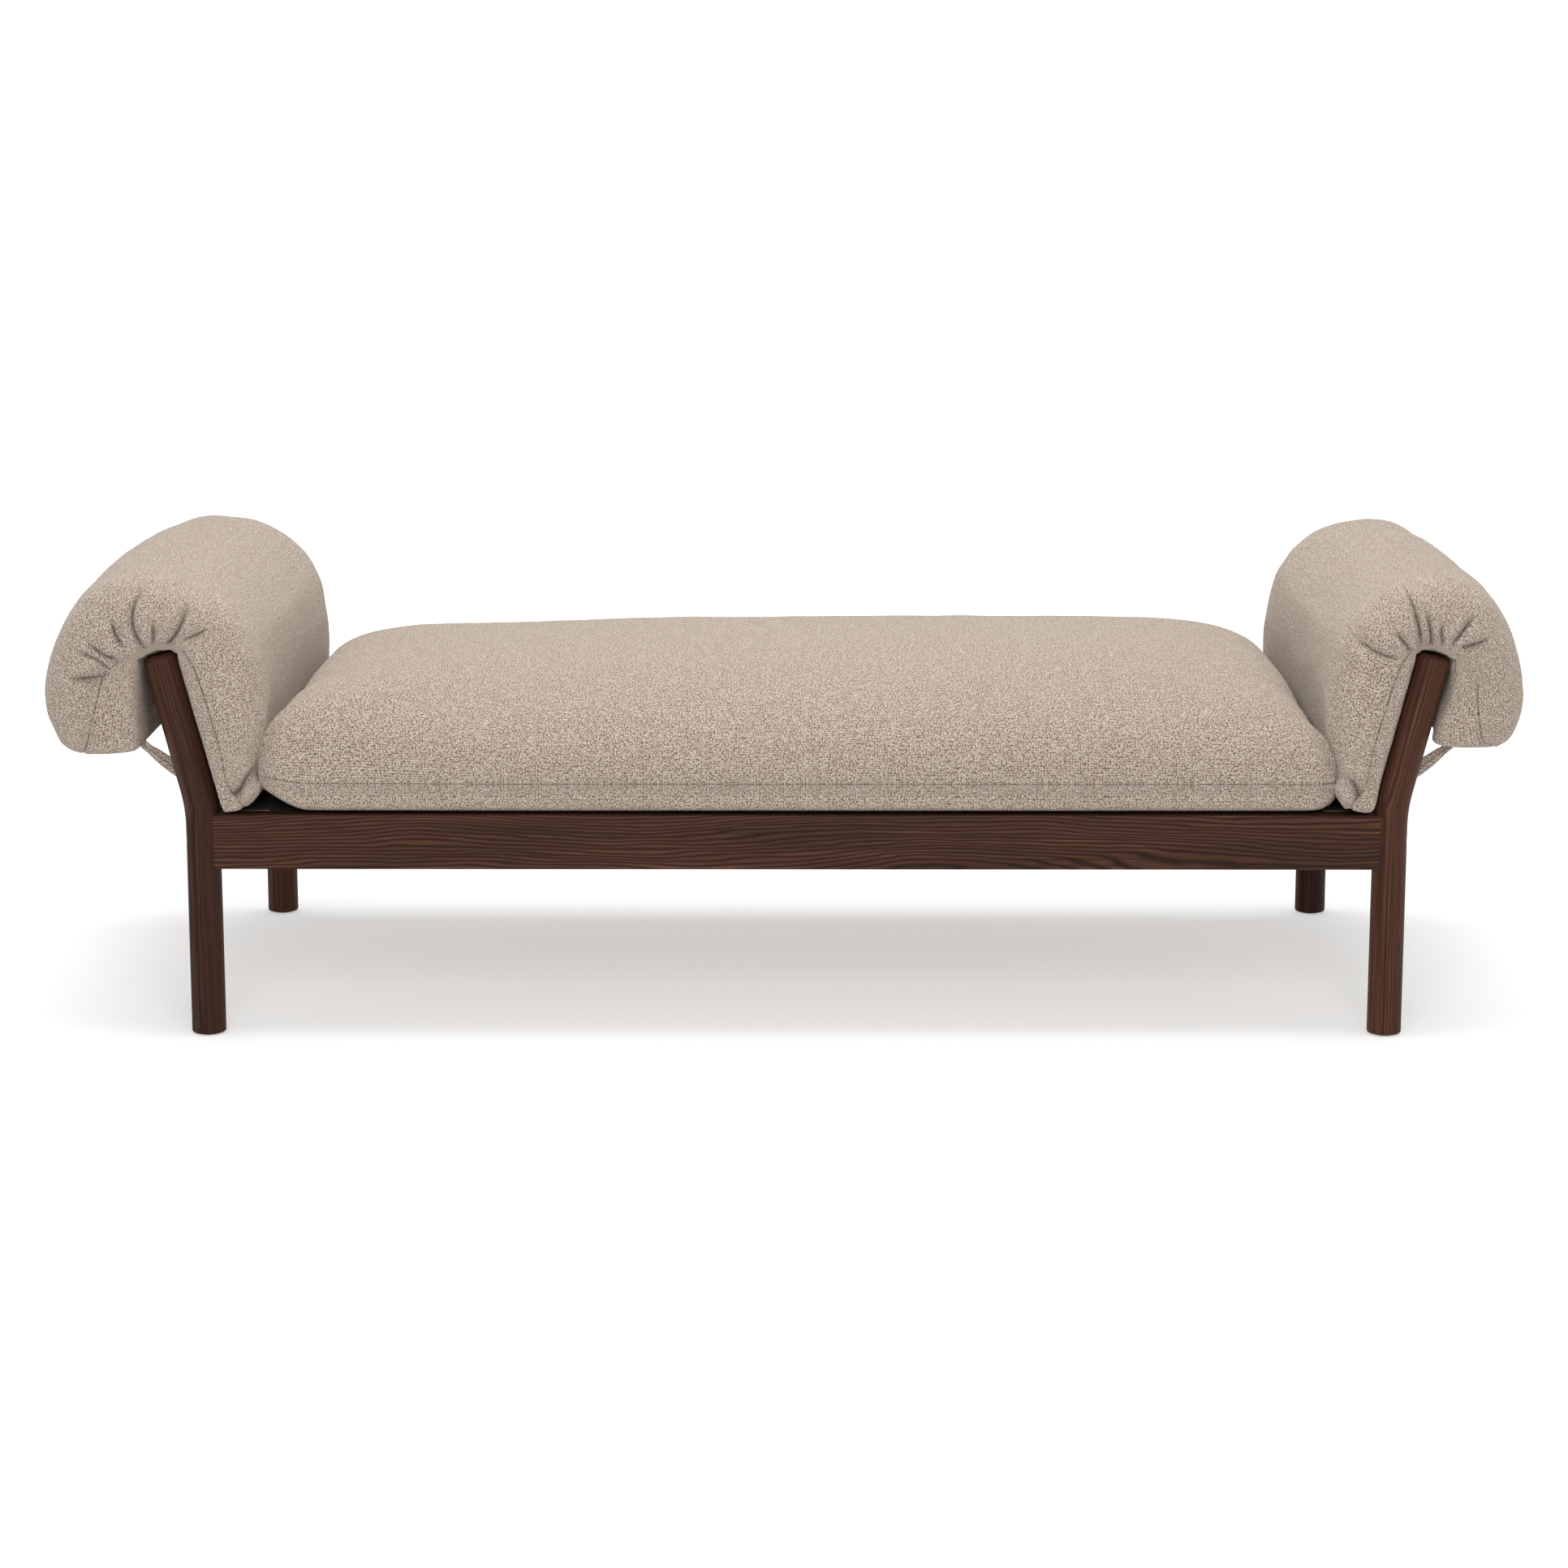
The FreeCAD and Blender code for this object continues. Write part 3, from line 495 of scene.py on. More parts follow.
def seat_grids():
    """The seat's top panel and its base panel."""
    columns = edge_spaced(SEAT_COLUMNS, SEAT_CROWD[0])
    rows = edge_spaced(SEAT_ROWS, SEAT_CROWD[1])
    across, along = np.meshgrid(columns, rows, indexing="ij")
    x, y = seat_plan(across, along)
    end_power = SEAT_END_P * (1 + smooth_step(-y, 0.22, 0.36))
    end_shape = crown(across, end_power, SEAT_END_ROOT) - SEAT_DISH * across ** 2 * (1 - across ** 10)
    top_power = SEAT_TOP_P + SEAT_LEFT_P * smooth_step(-x, 0.40, 0.70) * smooth_step(-y, -0.05, 0.2)
    rise = (seat_high[2] - SEAM_Z) * end_shape * crown(along, top_power, SEAT_TOP_ROOT)
    rise -= SEAT_LEFT_DROP * smooth_step(-x, -0.2, 0.6) * crown(along, 4, 2) * crown(across, 8, 2)
    top = np.stack([x, y, SEAM_Z + rise], axis=-1)
    depth = SEAM_Z - deck_high[2] - SEAT_REST
    drop = depth * crown(across, BASE_P[0], 3) * crown(along, BASE_P[1], 3)
    curl = smooth_step(-x, *CURL_X) * smooth_step(-y, *CURL_Y)
    base = np.stack([x, y, SEAM_Z - drop * (1 - CURL_THIN * curl)], axis=-1)
    for grid in (top, base):
        grid[..., 2] += CURL_RISE * curl * (1 - smooth_step(grid[..., 2], SEAM_Z, SEAM_Z + 0.05))
    return top, base


def seat_details(piece):
    """The seam's groove and puckers, soft unevenness, and a flat place for the zip."""
    points = get_points(piece)
    normals = get_points(piece, "normal")
    away = get_attribute(piece, "sewn")[:, 0]
    swell = lumps(points, SEAT_LUMPS, 1)
    swell *= smooth_step(points[:, 2], SEAM_Z - 0.01, SEAM_Z + 0.04)
    tall = np.column_stack([points[:, 0], points[:, 1], points[:, 2] * 0.2])
    swell += SEAT_PUCKER[0] * noise_field(tall, SEAT_PUCKER[1], 3) * near(away, SEAT_PUCKER_REACH)
    swell -= SEAT_GROOVE[0] * near(away, SEAT_GROOVE[1])
    points += normals * swell[:, None]
    half = seat_high[0] - 0.3 * MM
    between = np.abs(points[:, 1]) < 0.33
    points[:, 0] = np.where(between, np.clip(points[:, 0], -half, half), points[:, 0])
    rear = points[:, 1] > 0.36
    level = (points[:, 2] > seat_zip_low[2] - 4 * MM) & (points[:, 2] < seat_zip_high[2] + 4 * MM)
    within = np.abs(points[:, 0]) < seat_zip_high[0] + 10 * MM
    points[:, 1] = np.where(rear & level & within, seat_zip_high[1] - ZIP_SEAT, points[:, 1])
    points[:, 2] = np.maximum(points[:, 2], deck_high[2] + 0.5 * MM)
    set_points(piece, points)


def make_seat(material):
    """The loose seat cushion."""
    piece = pillow("seat_cushion", *seat_grids(), (0, 1), 1, 0)
    puff(piece)
    subdivide(piece)
    seat_details(piece)
    shade_smooth(piece)
    piece.data.materials.append(material)
    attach(piece, "seat")
    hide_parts("seat_core", "seat_cover_base", "seat_cover_top")


# ---- bolsters ----
def post_side(height):
    """Distance outward from the top rail of the plane that the inner pad keeps to beside a post."""
    return height * math.tan(LEAN) - (POST_R + POST_GAP) / math.cos(LEAN)


def bolster_outlines(side):
    """The outer panel, seam and inner panel of a bolster, outward and up from the top rail, in metres."""
    lines = []
    for which in range(3):
        line = np.array([station[which] for station in OUTLINE], float)
        past = line[:, 0] > OVERHANG_FROM
        line[past, 0] = OVERHANG_FROM + (line[past, 0] - OVERHANG_FROM) * OVERHANG[side]
        low = past & (line[:, 1] < HANG_FROM)
        line[low, 1] = HANG_FROM + (line[low, 1] - HANG_FROM) * HANG[side]
        lines.append(line * MM)
    outer, seam, inner = lines
    for k in INNER_STATIONS:
        inner[k, 0] = post_side(inner[k, 1])
    last = len(OUTLINE) - 1
    hug = smooth_step(np.arange(last), last - 5, last - 2)
    inner[:last, 0] -= HUG[side] * hug
    seam[:last, 0] -= SEAM_HUG * HUG[side] * hug
    return [smooth_line(line, last * BOLSTER_STEPS + 1) for line in (outer, seam, inner)]


def bolster_panel(far, seam, depth, half, belly):
    """One panel: fullest in the middle, and rounded down to the seam at both ends."""
    row = np.linspace(-1, 1, BOLSTER_ROWS)[:, None]
    share = np.abs(row)
    station = np.linspace(0, len(OUTLINE) - 1, len(far))[None]
    depth = depth * (TIP_DEPTH + (1 - TIP_DEPTH) * smooth_step(station, 1.0, 3.2))
    nearest_edge = np.minimum(station, station.max() - station)
    corner = np.clip(1 - nearest_edge / CORNER_STATIONS, 0, 1)
    half = half - PAD_CORNER * (1 - np.sqrt(1 - corner ** 2))
    turn = np.clip((share - MIDDLE_SHARE) / (1 - MIDDLE_SHARE), 0, 1) * math.pi / 2
    middle = np.minimum(share / MIDDLE_SHARE, 1)
    reach = (half - depth) * middle + depth * np.sin(turn) ** END_POWER
    full = np.where(share == 1, 0, np.abs(np.cos(turn)) ** END_POWER)
    flat = seam[None] + full[..., None] * (far - seam)[None]
    swell = belly * (1 - share ** 2) ** 1.4 * near(station - SHOULDER, SHOULDER_WIDTH)
    flat += swell[..., None] * math.sqrt(0.5)
    return np.stack([TOP_RAIL[0] + flat[..., 0], np.sign(row) * reach, TOP_RAIL[2] + flat[..., 1]], axis=-1)


def gather(points, normals, lines, end):
    """How far each point moves outward for the creases at one end of a bolster, and how deep in one it is."""
    out = (np.abs(points[:, 0]) - TOP_RAIL[0] - SADDLE_TOP[0]) / MM
    up = (points[:, 2] - TOP_RAIL[2] - SADDLE_TOP[1]) / MM
    move = np.zeros(len(points))
    fold = np.zeros(len(points))
    facing = smooth_step(end * normals[:, 1], *GATHER_FACING)
    near_end = smooth_step(end * points[:, 1], *GATHER_ENDS) * facing
    ridge_height, ridge_place, ridge_width = RIDGE
    for start, stop, bow, depth, width in lines:
        start, stop = np.array(start, float), np.array(stop, float)
        chord = stop - start
        length = np.hypot(*chord)
        ahead = chord / length
        aside = np.array([-ahead[1], ahead[0]])
        dx, dz = out - start[0], up - start[1]
        along = (dx * ahead[0] + dz * ahead[1]) / length
        off = dx * aside[0] + dz * aside[1]
        off = np.abs(off - bow * 4 * along * (1 - along))
        body = smooth_step(along, -0.05, 0.5) * (1 - smooth_step(along, 0.95, 1.2)) * near_end
        valley = np.exp(-off / width)
        ridge = near(off - ridge_place * width, ridge_width * width)
        move += GATHER_DEPTH * depth * body * (ridge_height * ridge - valley)
        # how deep in a crease: the weave paints shade there
        fold = np.maximum(fold, body * near(off, FOLD_SHADE_HALF_WIDTH))
    return move * MM, fold


def bolster_swell(points, normals, away, panel, side):
    """How far each point moves outward for unevenness, gathers and seams, and how deep in a crease it is."""
    seed = BOLSTER_SEED[side]
    other = "right" if side == "left" else "left"
    swell = lumps(points, BOLSTER_LUMPS, seed)
    ends = smooth_step(np.abs(points[:, 1]), *RUMPLED_ENDS)
    swell += RUMPLE[0] * ends * noise_field(points, RUMPLE[1], seed + 2)
    fold = np.zeros(len(points))
    for lines, end in ((GATHERS[side], -1), (GATHERS[other], 1)):
        move, deep = gather(points, normals, lines, end)
        swell += move * panel
        fold = np.maximum(fold, deep * panel)
    ruffle = RUFFLE[0] + RUFFLE[1] * smooth_step(points[:, 2], TOP_RAIL[2], TOP_RAIL[2] + 0.02)
    swell += ruffle * MM * noise_field(points, SEAM_PUCKER, seed + 3) * near(away, SEAM_PUCKER_REACH)
    swell -= SEAM_GROOVE[0] * near(away, SEAM_GROOVE[1])
    swell *= np.where(panel > 0.5, 1.0, UNDER_CALM[0] + UNDER_CALM[1] * near(away, 12 * MM))
    return swell, fold


def fit_inner_pad(out, up, across, panel, side):
    """Lays the inner pad along the posts, with its back standing out between them."""
    drop_from, drop_full, drop_fade, drop_end = BULGE_DROP
    bulge = smooth_step(-up, drop_from, drop_full) * (1 - smooth_step(-up, drop_fade, drop_end))
    bulge = BACK_BULGE * bulge * (1 - smooth_step(across, *BULGE_REACH))
    limit = post_side(up) + SET_BACK[side] * np.minimum(up, 0) * smooth_step(across, *SET_BACK_ENDS)
    inner_pad = (out < 0.0) & (up < 12 * MM)
    out = out + bulge * (inner_pad & (panel < 0.5) & (out > limit - BULGE_SKIN))
    out = np.where(inner_pad, np.minimum(out, limit + bulge), out)
    return np.maximum(out, bolster_low[0] + 0.3 * MM - TOP_RAIL[0])


def fit_outer_pad(out, up, across):
    """Keeps the outer pad's post side outside its zip, except towards its ends."""
    zip_side = pad_zip_low[0] + ZIP_SEAT - TOP_RAIL[0]
    zip_side -= 26 * MM * smooth_step(across, 0.31, 0.37)
    outer_pad = (out > 0.0) & (up < -0.03)
    return np.where(outer_pad, np.maximum(out, zip_side), out)


def fit_height(out, up, height):
    """Keeps the saddle's edge above the post's top, and the inner pad above the deck."""
    saddle = (np.abs(up - 0.02) < 0.02) & (np.abs(out - SADDLE_TOP[0]) < POST_R + 4 * MM)
    floor = TOP_RAIL[2] + SADDLE_RISE - np.maximum(out, 0) * math.tan(LEAN)
    height = np.where(saddle, np.maximum(height, floor), height)
    return np.maximum(height, deck_high[2] + 0.4 * MM)


def bolster_details(piece, side, sx):
    """Gathers, seams and unevenness, then the fit beside the posts, the zip and the deck."""
    points = get_points(piece)
    normals = get_points(piece, "normal")
    away, panel, _ = get_attribute(piece, "sewn").T
    swell, fold = bolster_swell(points, normals, away, panel, side)
    seam_out = np.abs(points[:, 0]) - TOP_RAIL[0]
    seam_up = points[:, 2] - TOP_RAIL[2]
    points += normals * swell[:, None]
    up = points[:, 2] - TOP_RAIL[2]
    across = np.abs(points[:, 1])
    out = fit_inner_pad(np.abs(points[:, 0]) - TOP_RAIL[0], up, across, panel, side)
    out = fit_outer_pad(out, up, across)
    points[:, 2] = fit_height(out, up, points[:, 2])
    points[:, 0] = sx * (TOP_RAIL[0] + out)
    set_points(piece, points)
    # outward of the top rail near its top, the seam's painted shade line and its groove are left out
    from_in, full_in, full_out, to_out = HIDDEN_SEAM
    hidden = smooth_step(seam_out, from_in, full_in) * (1 - smooth_step(seam_out, full_out, to_out))
    line_away = away + 0.01 * hidden * (seam_up > -0.012)
    sewn = np.column_stack([line_away, panel, fold]).astype(np.float32)
    piece.data.attributes["sewn"].data.foreach_set("vector", sewn.ravel())


def make_bolster(side, sx, material):
    """One saddle bolster: a long pillow folded over the top rail."""
    outer, seam, inner = bolster_outlines(side)
    half = bolster_high[1] - 1 * MM
    upper = bolster_panel(outer, seam, END_DEPTH, half, BELLY[side])
    under = bolster_panel(inner, seam, UNDER_DEPTH, half, 0)
    for grid in (upper, under):
        grid[..., 0] *= sx
    if sx > 0:
        upper, under = upper[:, ::-1], under[:, ::-1]
    piece = pillow(side + "_bolster", upper, under, (0,), 0, BOLSTER_ROWS // 2)
    puff(piece)
    subdivide(piece)
    bolster_details(piece, side, sx)
    shade_smooth(piece)
    piece.data.materials.append(material)
    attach(piece, side + "_bolster")
    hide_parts(side + "_bolster_core", side + "_bolster_cover")


# ---- straps, zips and deck cloth ----
def squared(value):
    """A sine or cosine made fuller, for a squarer cross section."""
    return math.copysign(abs(value) ** STRAP_ROUND, value)


def strap_ring(number, hinge):
    """The middle, half width and distance from the hinge of one cross section, for an end on the +X side."""
    t = number / STRAP_RINGS * (1 + STRAP_ROOT) - STRAP_ROOT
    centre = hinge + STRAP_REACH * t * np.array([-math.cos(STRAP_SLOPE), 0, -math.sin(STRAP_SLOPE)])
    centre[2] -= STRAP_SAG * 4 * t * (1 - t)
    bulge = math.sin(math.pi * min(max(t, 0) ** 0.9, 1)) ** 0.7
    width = STRAP_WIDTH * (STRAP_NARROW + (1 - STRAP_NARROW) * bulge)
    width *= 1 if 0 < number < STRAP_RINGS else STRAP_TIP
    return centre, width, STRAP_REACH * t


def make_strap(side, sx, end, sy, material):
    """A strap folded double and stitched along its middle, from the outer pad to the inner pad's back."""
    low, high = corners("right_bolster_%s_strap" % end)
    hinge = np.array([high[0] - STRAP_HINGE[0], 0, high[2] - STRAP_HINGE[1]])
    middle_y = sy * (max(abs(low[1]), abs(high[1])) - 2 * MM)
    groove, groove_width = STRAP_STITCH
    verts, cloth = [], []
    for number in range(STRAP_RINGS + 1):
        centre, width, reach = strap_ring(number, hinge)
        for k in range(STRAP_SIDES):
            turn = 2 * math.pi * k / STRAP_SIDES
            aside = squared(math.cos(turn))
            thick = squared(math.sin(turn)) * (1 - groove * math.exp(-(aside / groove_width) ** 2))
            verts.append((sx * (centre[0] + aside * width * math.sin(STRAP_SLOPE)),
                          middle_y + thick * STRAP_THICK,
                          centre[2] - aside * width * math.cos(STRAP_SLOPE)))
            cloth.append((reach, aside * width, 0.3))
    index = np.arange(len(verts)).reshape(STRAP_RINGS + 1, STRAP_SIDES)
    index = np.column_stack([index, index[:, 0]])
    faces = np.stack([index[:-1, :-1], index[:-1, 1:], index[1:, 1:], index[1:, :-1]], axis=-1)
    faces = [tuple(face) for face in faces.reshape(-1, 4)]
    faces.append(tuple(index[0, -2::-1]))
    faces.append(tuple(index[-1, :-1]))
    if sx > 0:
        faces = [face[::-1] for face in faces]
    piece = new_object(side + "_" + end + "_strap", verts, faces)
    set_attribute(piece, "cloth", cloth)
    # distance from the strap's stitched middle, along which the weave paints a shade line
    set_attribute(piece, "sewn", [(abs(place[1]), 1, 0) for place in cloth])
    shade_smooth(piece)
    piece.data.materials.append(material)
    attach(piece, "%s_%s_strap" % (side, end))
    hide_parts("%s_bolster_%s_strap" % (side, end))


def add_box(verts, faces, start, stop):
    """Adds a box between two corners to a mesh under construction."""
    first = len(verts)
    for z in (start[2], stop[2]):
        for x, y in ((start[0], start[1]), (stop[0], start[1]), (stop[0], stop[1]), (start[0], stop[1])):
            verts.append((x, y, z))
    for face in ((3, 2, 1, 0), (4, 5, 6, 7), (0, 1, 5, 4), (1, 2, 6, 5), (2, 3, 7, 6), (3, 0, 4, 7)):
        faces.append([first + k for k in face])


def make_zip(name, node, body, axis, face_axis, outward, materials):
    """A closed coil zip: a thin tape along an axis, with a row of small teeth on its outward face."""
    low, high = corners(node)
    verts, faces = [], []
    face = high[face_axis] if outward > 0 else low[face_axis]
    start, stop = low.copy(), high.copy()
    faces_at = (face - outward * TAPE_DEPTH[0], face + outward * TAPE_DEPTH[1])
    start[face_axis], stop[face_axis] = sorted(faces_at)
    add_box(verts, faces, start, stop)
    tape_faces = len(faces)
    middle = (low[2] + high[2]) / 2
    for number in range(int((high[axis] - low[axis]) / TOOTH_PITCH)):
        start, stop = low.copy(), high.copy()
        start[axis] = low[axis] + number * TOOTH_PITCH
        stop[axis] = start[axis] + TOOTH_WIDTH
        stagger = TOOTH_STAGGER if number % 2 else -TOOTH_STAGGER
        start[2] = middle - TOOTH_HALF + stagger
        stop[2] = middle + TOOTH_HALF + stagger
        start[face_axis], stop[face_axis] = sorted((face, face + outward * TOOTH_STANDS))
        add_box(verts, faces, start, stop)
    piece = new_object(name, verts, faces)
    for material in materials:
        piece.data.materials.append(material)
    slots = [0] * tape_faces + [1] * (len(faces) - tape_faces)
    piece.data.polygons.foreach_set("material_index", slots)
    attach(piece, body)
    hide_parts(node)


def make_deck(material):
    """The black cloth stretched over the slats, which show through it a little."""
    columns, rows = DECK_GRID
    xs = np.linspace(deck_low[0], deck_high[0], columns)
    ys = np.linspace(deck_low[1] - DECK_OVER, deck_high[1] + DECK_OVER, rows)
    boxes = [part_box(slat) for slat in SLATS]
    centres = [(box[0][0] + box[1][0]) / 2 for box in boxes]
    half = (boxes[0][1][0] - boxes[0][0][0]) / 2
    gap = np.min([np.maximum(np.abs(xs - centre) - half, 0) for centre in centres], axis=0)
    sag = np.minimum(gap * DECK_SAG[0], DECK_SAG[1])[:, None] * np.sin(np.linspace(0, math.pi, rows))[None]
    sag[:, [0, -1]] = DECK_TUCK * smooth_step(gap, 0, 3 * MM)[:, None]
    grid_x, grid_y = np.meshgrid(xs, ys, indexing="ij")
    top = np.stack([grid_x, grid_y, deck_high[2] - sag], axis=-1)
    index = np.arange(columns * rows).reshape(columns, rows)
    faces = np.stack([index[:-1, :-1], index[1:, :-1], index[1:, 1:], index[:-1, 1:]], axis=-1)
    piece = new_object("deck_cover", top.reshape(-1, 3), faces.reshape(-1, 4))
    thick = piece.modifiers.new("thickness", "SOLIDIFY")
    thick.thickness = deck_high[2] - deck_low[2]
    thick.offset = -1
    apply_modifiers(piece)
    shade_smooth(piece)
    piece.data.materials.append(material)
    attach(piece, "frame")
    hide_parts("deck_cloth")


# ---- materials ----
class Nodes:
    """A small helper that adds and joins the nodes of one material."""

    def __init__(self, name):
        self.material = bpy.data.materials.new(name)
        self.material.use_nodes = True
        self.tree = self.material.node_tree
        self.shader = self.tree.nodes["Principled BSDF"]

    def add(self, kind, settings=(), **inputs):
        """Adds a shader node, sets its properties and its inputs, each a value or another node's output."""
        node = self.tree.nodes.new("ShaderNode" + kind)
        for key, value in dict(settings).items():
            setattr(node, key, value)
        for key, value in inputs.items():
            self.put(node.inputs[int(key[1:]) if key[0] == "i" and key[1:].isdigit() else key], value)
        return node

    def put(self, socket, value):
        """Sets a socket to a value, or joins it to an output."""
        if isinstance(value, bpy.types.NodeSocket):
            self.tree.links.new(value, socket)
        else:
            socket.default_value = value

    def math(self, operation, a, b=0.0, clamp=False):
        """A Math node's output."""
        return self.add("Math", {"operation": operation, "use_clamp": clamp}, i0=a, i1=b).outputs[0]

    def times(self, a, b, clamp=False):
        """a times b."""
        return self.math("MULTIPLY", a, b, clamp)

    def plus(self, a, b):
        """a plus b."""
        return self.math("ADD", a, b)

    def minus(self, a, b, clamp=False):
        """a minus b."""
        return self.math("SUBTRACT", a, b, clamp)

    def here(self):
        """The place on the piece, in metres."""
        return self.add("TexCoord").outputs["Object"]

    def ramp(self, value, stops):
        """A colour ramp's colour output, from (place, colour) stops."""
        node = self.add("ValToRGB", i0=value)
        ramp = node.color_ramp
        while len(ramp.elements) < len(stops):
            ramp.elements.new(0.5)
        for element, (place, colour) in zip(ramp.elements, stops):
            element.position = place
            element.color = (*colour, 1)
        return node.outputs[0]

    def mix(self, share, a, b):
        """A colour Mix node's output."""
        node = self.add("Mix", {"data_type": "RGBA"})
        self.put(node.inputs[0], share)
        self.put(node.inputs[6], a if isinstance(a, bpy.types.NodeSocket) else (*a, 1))
        self.put(node.inputs[7], b if isinstance(b, bpy.types.NodeSocket) else (*b, 1))
        return node.outputs[2]

    def noise(self, place, scale, detail=2.0, rough=0.5):
        """A noise texture's value, about 0.5."""
        return self.add("TexNoise", Vector=place, Scale=scale, Detail=detail,
                        Roughness=rough).outputs[0]

    def finish(self, colour, roughness, bump, distance, strength=1.0):
        """Joins colour, roughness and bump to the shader."""
        self.put(self.shader.inputs["Base Color"], colour)
        self.put(self.shader.inputs["Roughness"], roughness)
        if bump is not None:
            node = self.add("Bump", Strength=strength, Distance=distance, Height=bump)
            self.put(self.shader.inputs["Normal"], node.outputs[0])
        return self.material


def srgb(red, green, blue):
    """A linear colour from 0-255 display values."""
    shares = (red / 255, green / 255, blue / 255)
    return tuple(((c + 0.055) / 1.055) ** 2.4 if c > 10 / 255 else c / 12.92 for c in shares)


def weave_material():
    """Chunky oatmeal basket weave: plump pale loops of yarn of uneven tone, with painted shade in the pits
    between them.
    """
    n = Nodes("oatmeal_basket_weave")
    place = n.add("Attribute", {"attribute_name": "cloth"}).outputs["Vector"]
    sewn = n.add("Attribute", {"attribute_name": "sewn"}).outputs["Vector"]
    wander = n.add("TexNoise", {"noise_dimensions": "3D"}, Vector=place, Scale=260.0, Detail=2.0)
    shift = n.add("VectorMath", {"operation": "SUBTRACT"}, i0=wander.outputs[1], i1=(0.5, 0.5, 0.5))
    shift = n.add("VectorMath", {"operation": "SCALE"}, i0=shift.outputs[0], Scale=YARN_DRIFT)
    bent = n.add("VectorMath", {"operation": "ADD"}, i0=place, i1=shift.outputs[0]).outputs[0]
    cells = n.add("Mapping", Vector=bent, Scale=(1 / YARN_W, 1 / YARN_H, 1.0)).outputs[0]
    yarns = n.add("TexVoronoi", {"voronoi_dimensions": "2D"}, Vector=cells, Scale=1.0,
                  Randomness=0.62)
    yarn = n.minus(1.0, n.times(yarns.outputs["Distance"], 1.25), clamp=True)
    pick = n.add("SeparateColor", i0=yarns.outputs["Color"]).outputs[0]
    fleck = n.noise(place, 520.0, 3.0, 0.7)
    patch = n.noise(place, 60.0, 3.0, 0.6)
    broad = n.noise(place, 4.0, 2.0, 0.5)
    dashes = n.add("Mapping", Vector=place, Scale=(90.0, 380.0, 1.0)).outputs[0]
    dash = n.ramp(n.noise(dashes, 1.0, 2.0, 0.6), ((0.50, (0, 0, 0)), (0.72, (1, 1, 1))))
    light = n.times(pick, 0.16)
    light = n.plus(light, n.times(fleck, 0.74))
    light = n.plus(light, n.times(n.minus(patch, 0.5), 0.06))
    # the pits between the loops are painted darker: painted shade in the recesses
    light = n.times(light, n.plus(n.times(yarn, 1.25), 0.32))
    colour = n.ramp(light, [(level, srgb(*tone)) for level, tone in WEAVE_TONES])
    colour = n.mix(n.times(n.minus(broad, 0.35), 0.3), colour, srgb(*WEAVE_BROAD))
    colour = n.mix(n.times(dash, 0.45), colour, srgb(*WEAVE_DASH))
    # painted shade: darker along the seams and in the creases of the gathers
    away = n.add("SeparateXYZ", i0=sewn).outputs[0]
    line = n.minus(1.0, n.math("DIVIDE", away, SEAM_LINE), clamp=True)
    fold = n.add("SeparateXYZ", i0=sewn).outputs[2]
    dark = n.math("MAXIMUM", n.times(line, 0.5), n.times(fold, 0.85))
    colour = n.mix(dark, colour, srgb(*WEAVE_PAINTED_SHADE))
    fuzz = n.noise(place, 1500.0, 2.0, 0.7)
    height = n.plus(n.times(yarn, 0.9), n.times(fuzz, 0.15))
    height = n.plus(height, n.times(n.plus(fleck, pick), 0.3))
    height = n.minus(height, n.times(line, 1.2))
    n.shader.inputs["Sheen Weight"].default_value = 0.25
    n.shader.inputs["Sheen Roughness"].default_value = 0.55
    n.shader.inputs["Sheen Tint"].default_value = (*srgb(*WEAVE_SHEEN), 1)
    n.shader.inputs["Specular IOR Level"].default_value = 0.15
    return n.finish(colour, 0.92, height, 0.0009, 0.8)


def along_post(n, place, side):
    """Coordinates in which a bent post is straight, so that its grain follows the bend."""
    parts = n.add("SeparateXYZ", Vector=place).outputs
    above = n.math("MAXIMUM", n.minus(parts[2], POST_BEND), 0.0)
    straight_x = n.minus(parts[0], n.times(above, side * math.tan(LEAN)))
    return n.add("CombineXYZ", X=straight_x, Y=parts[1], Z=parts[2]).outputs[0]


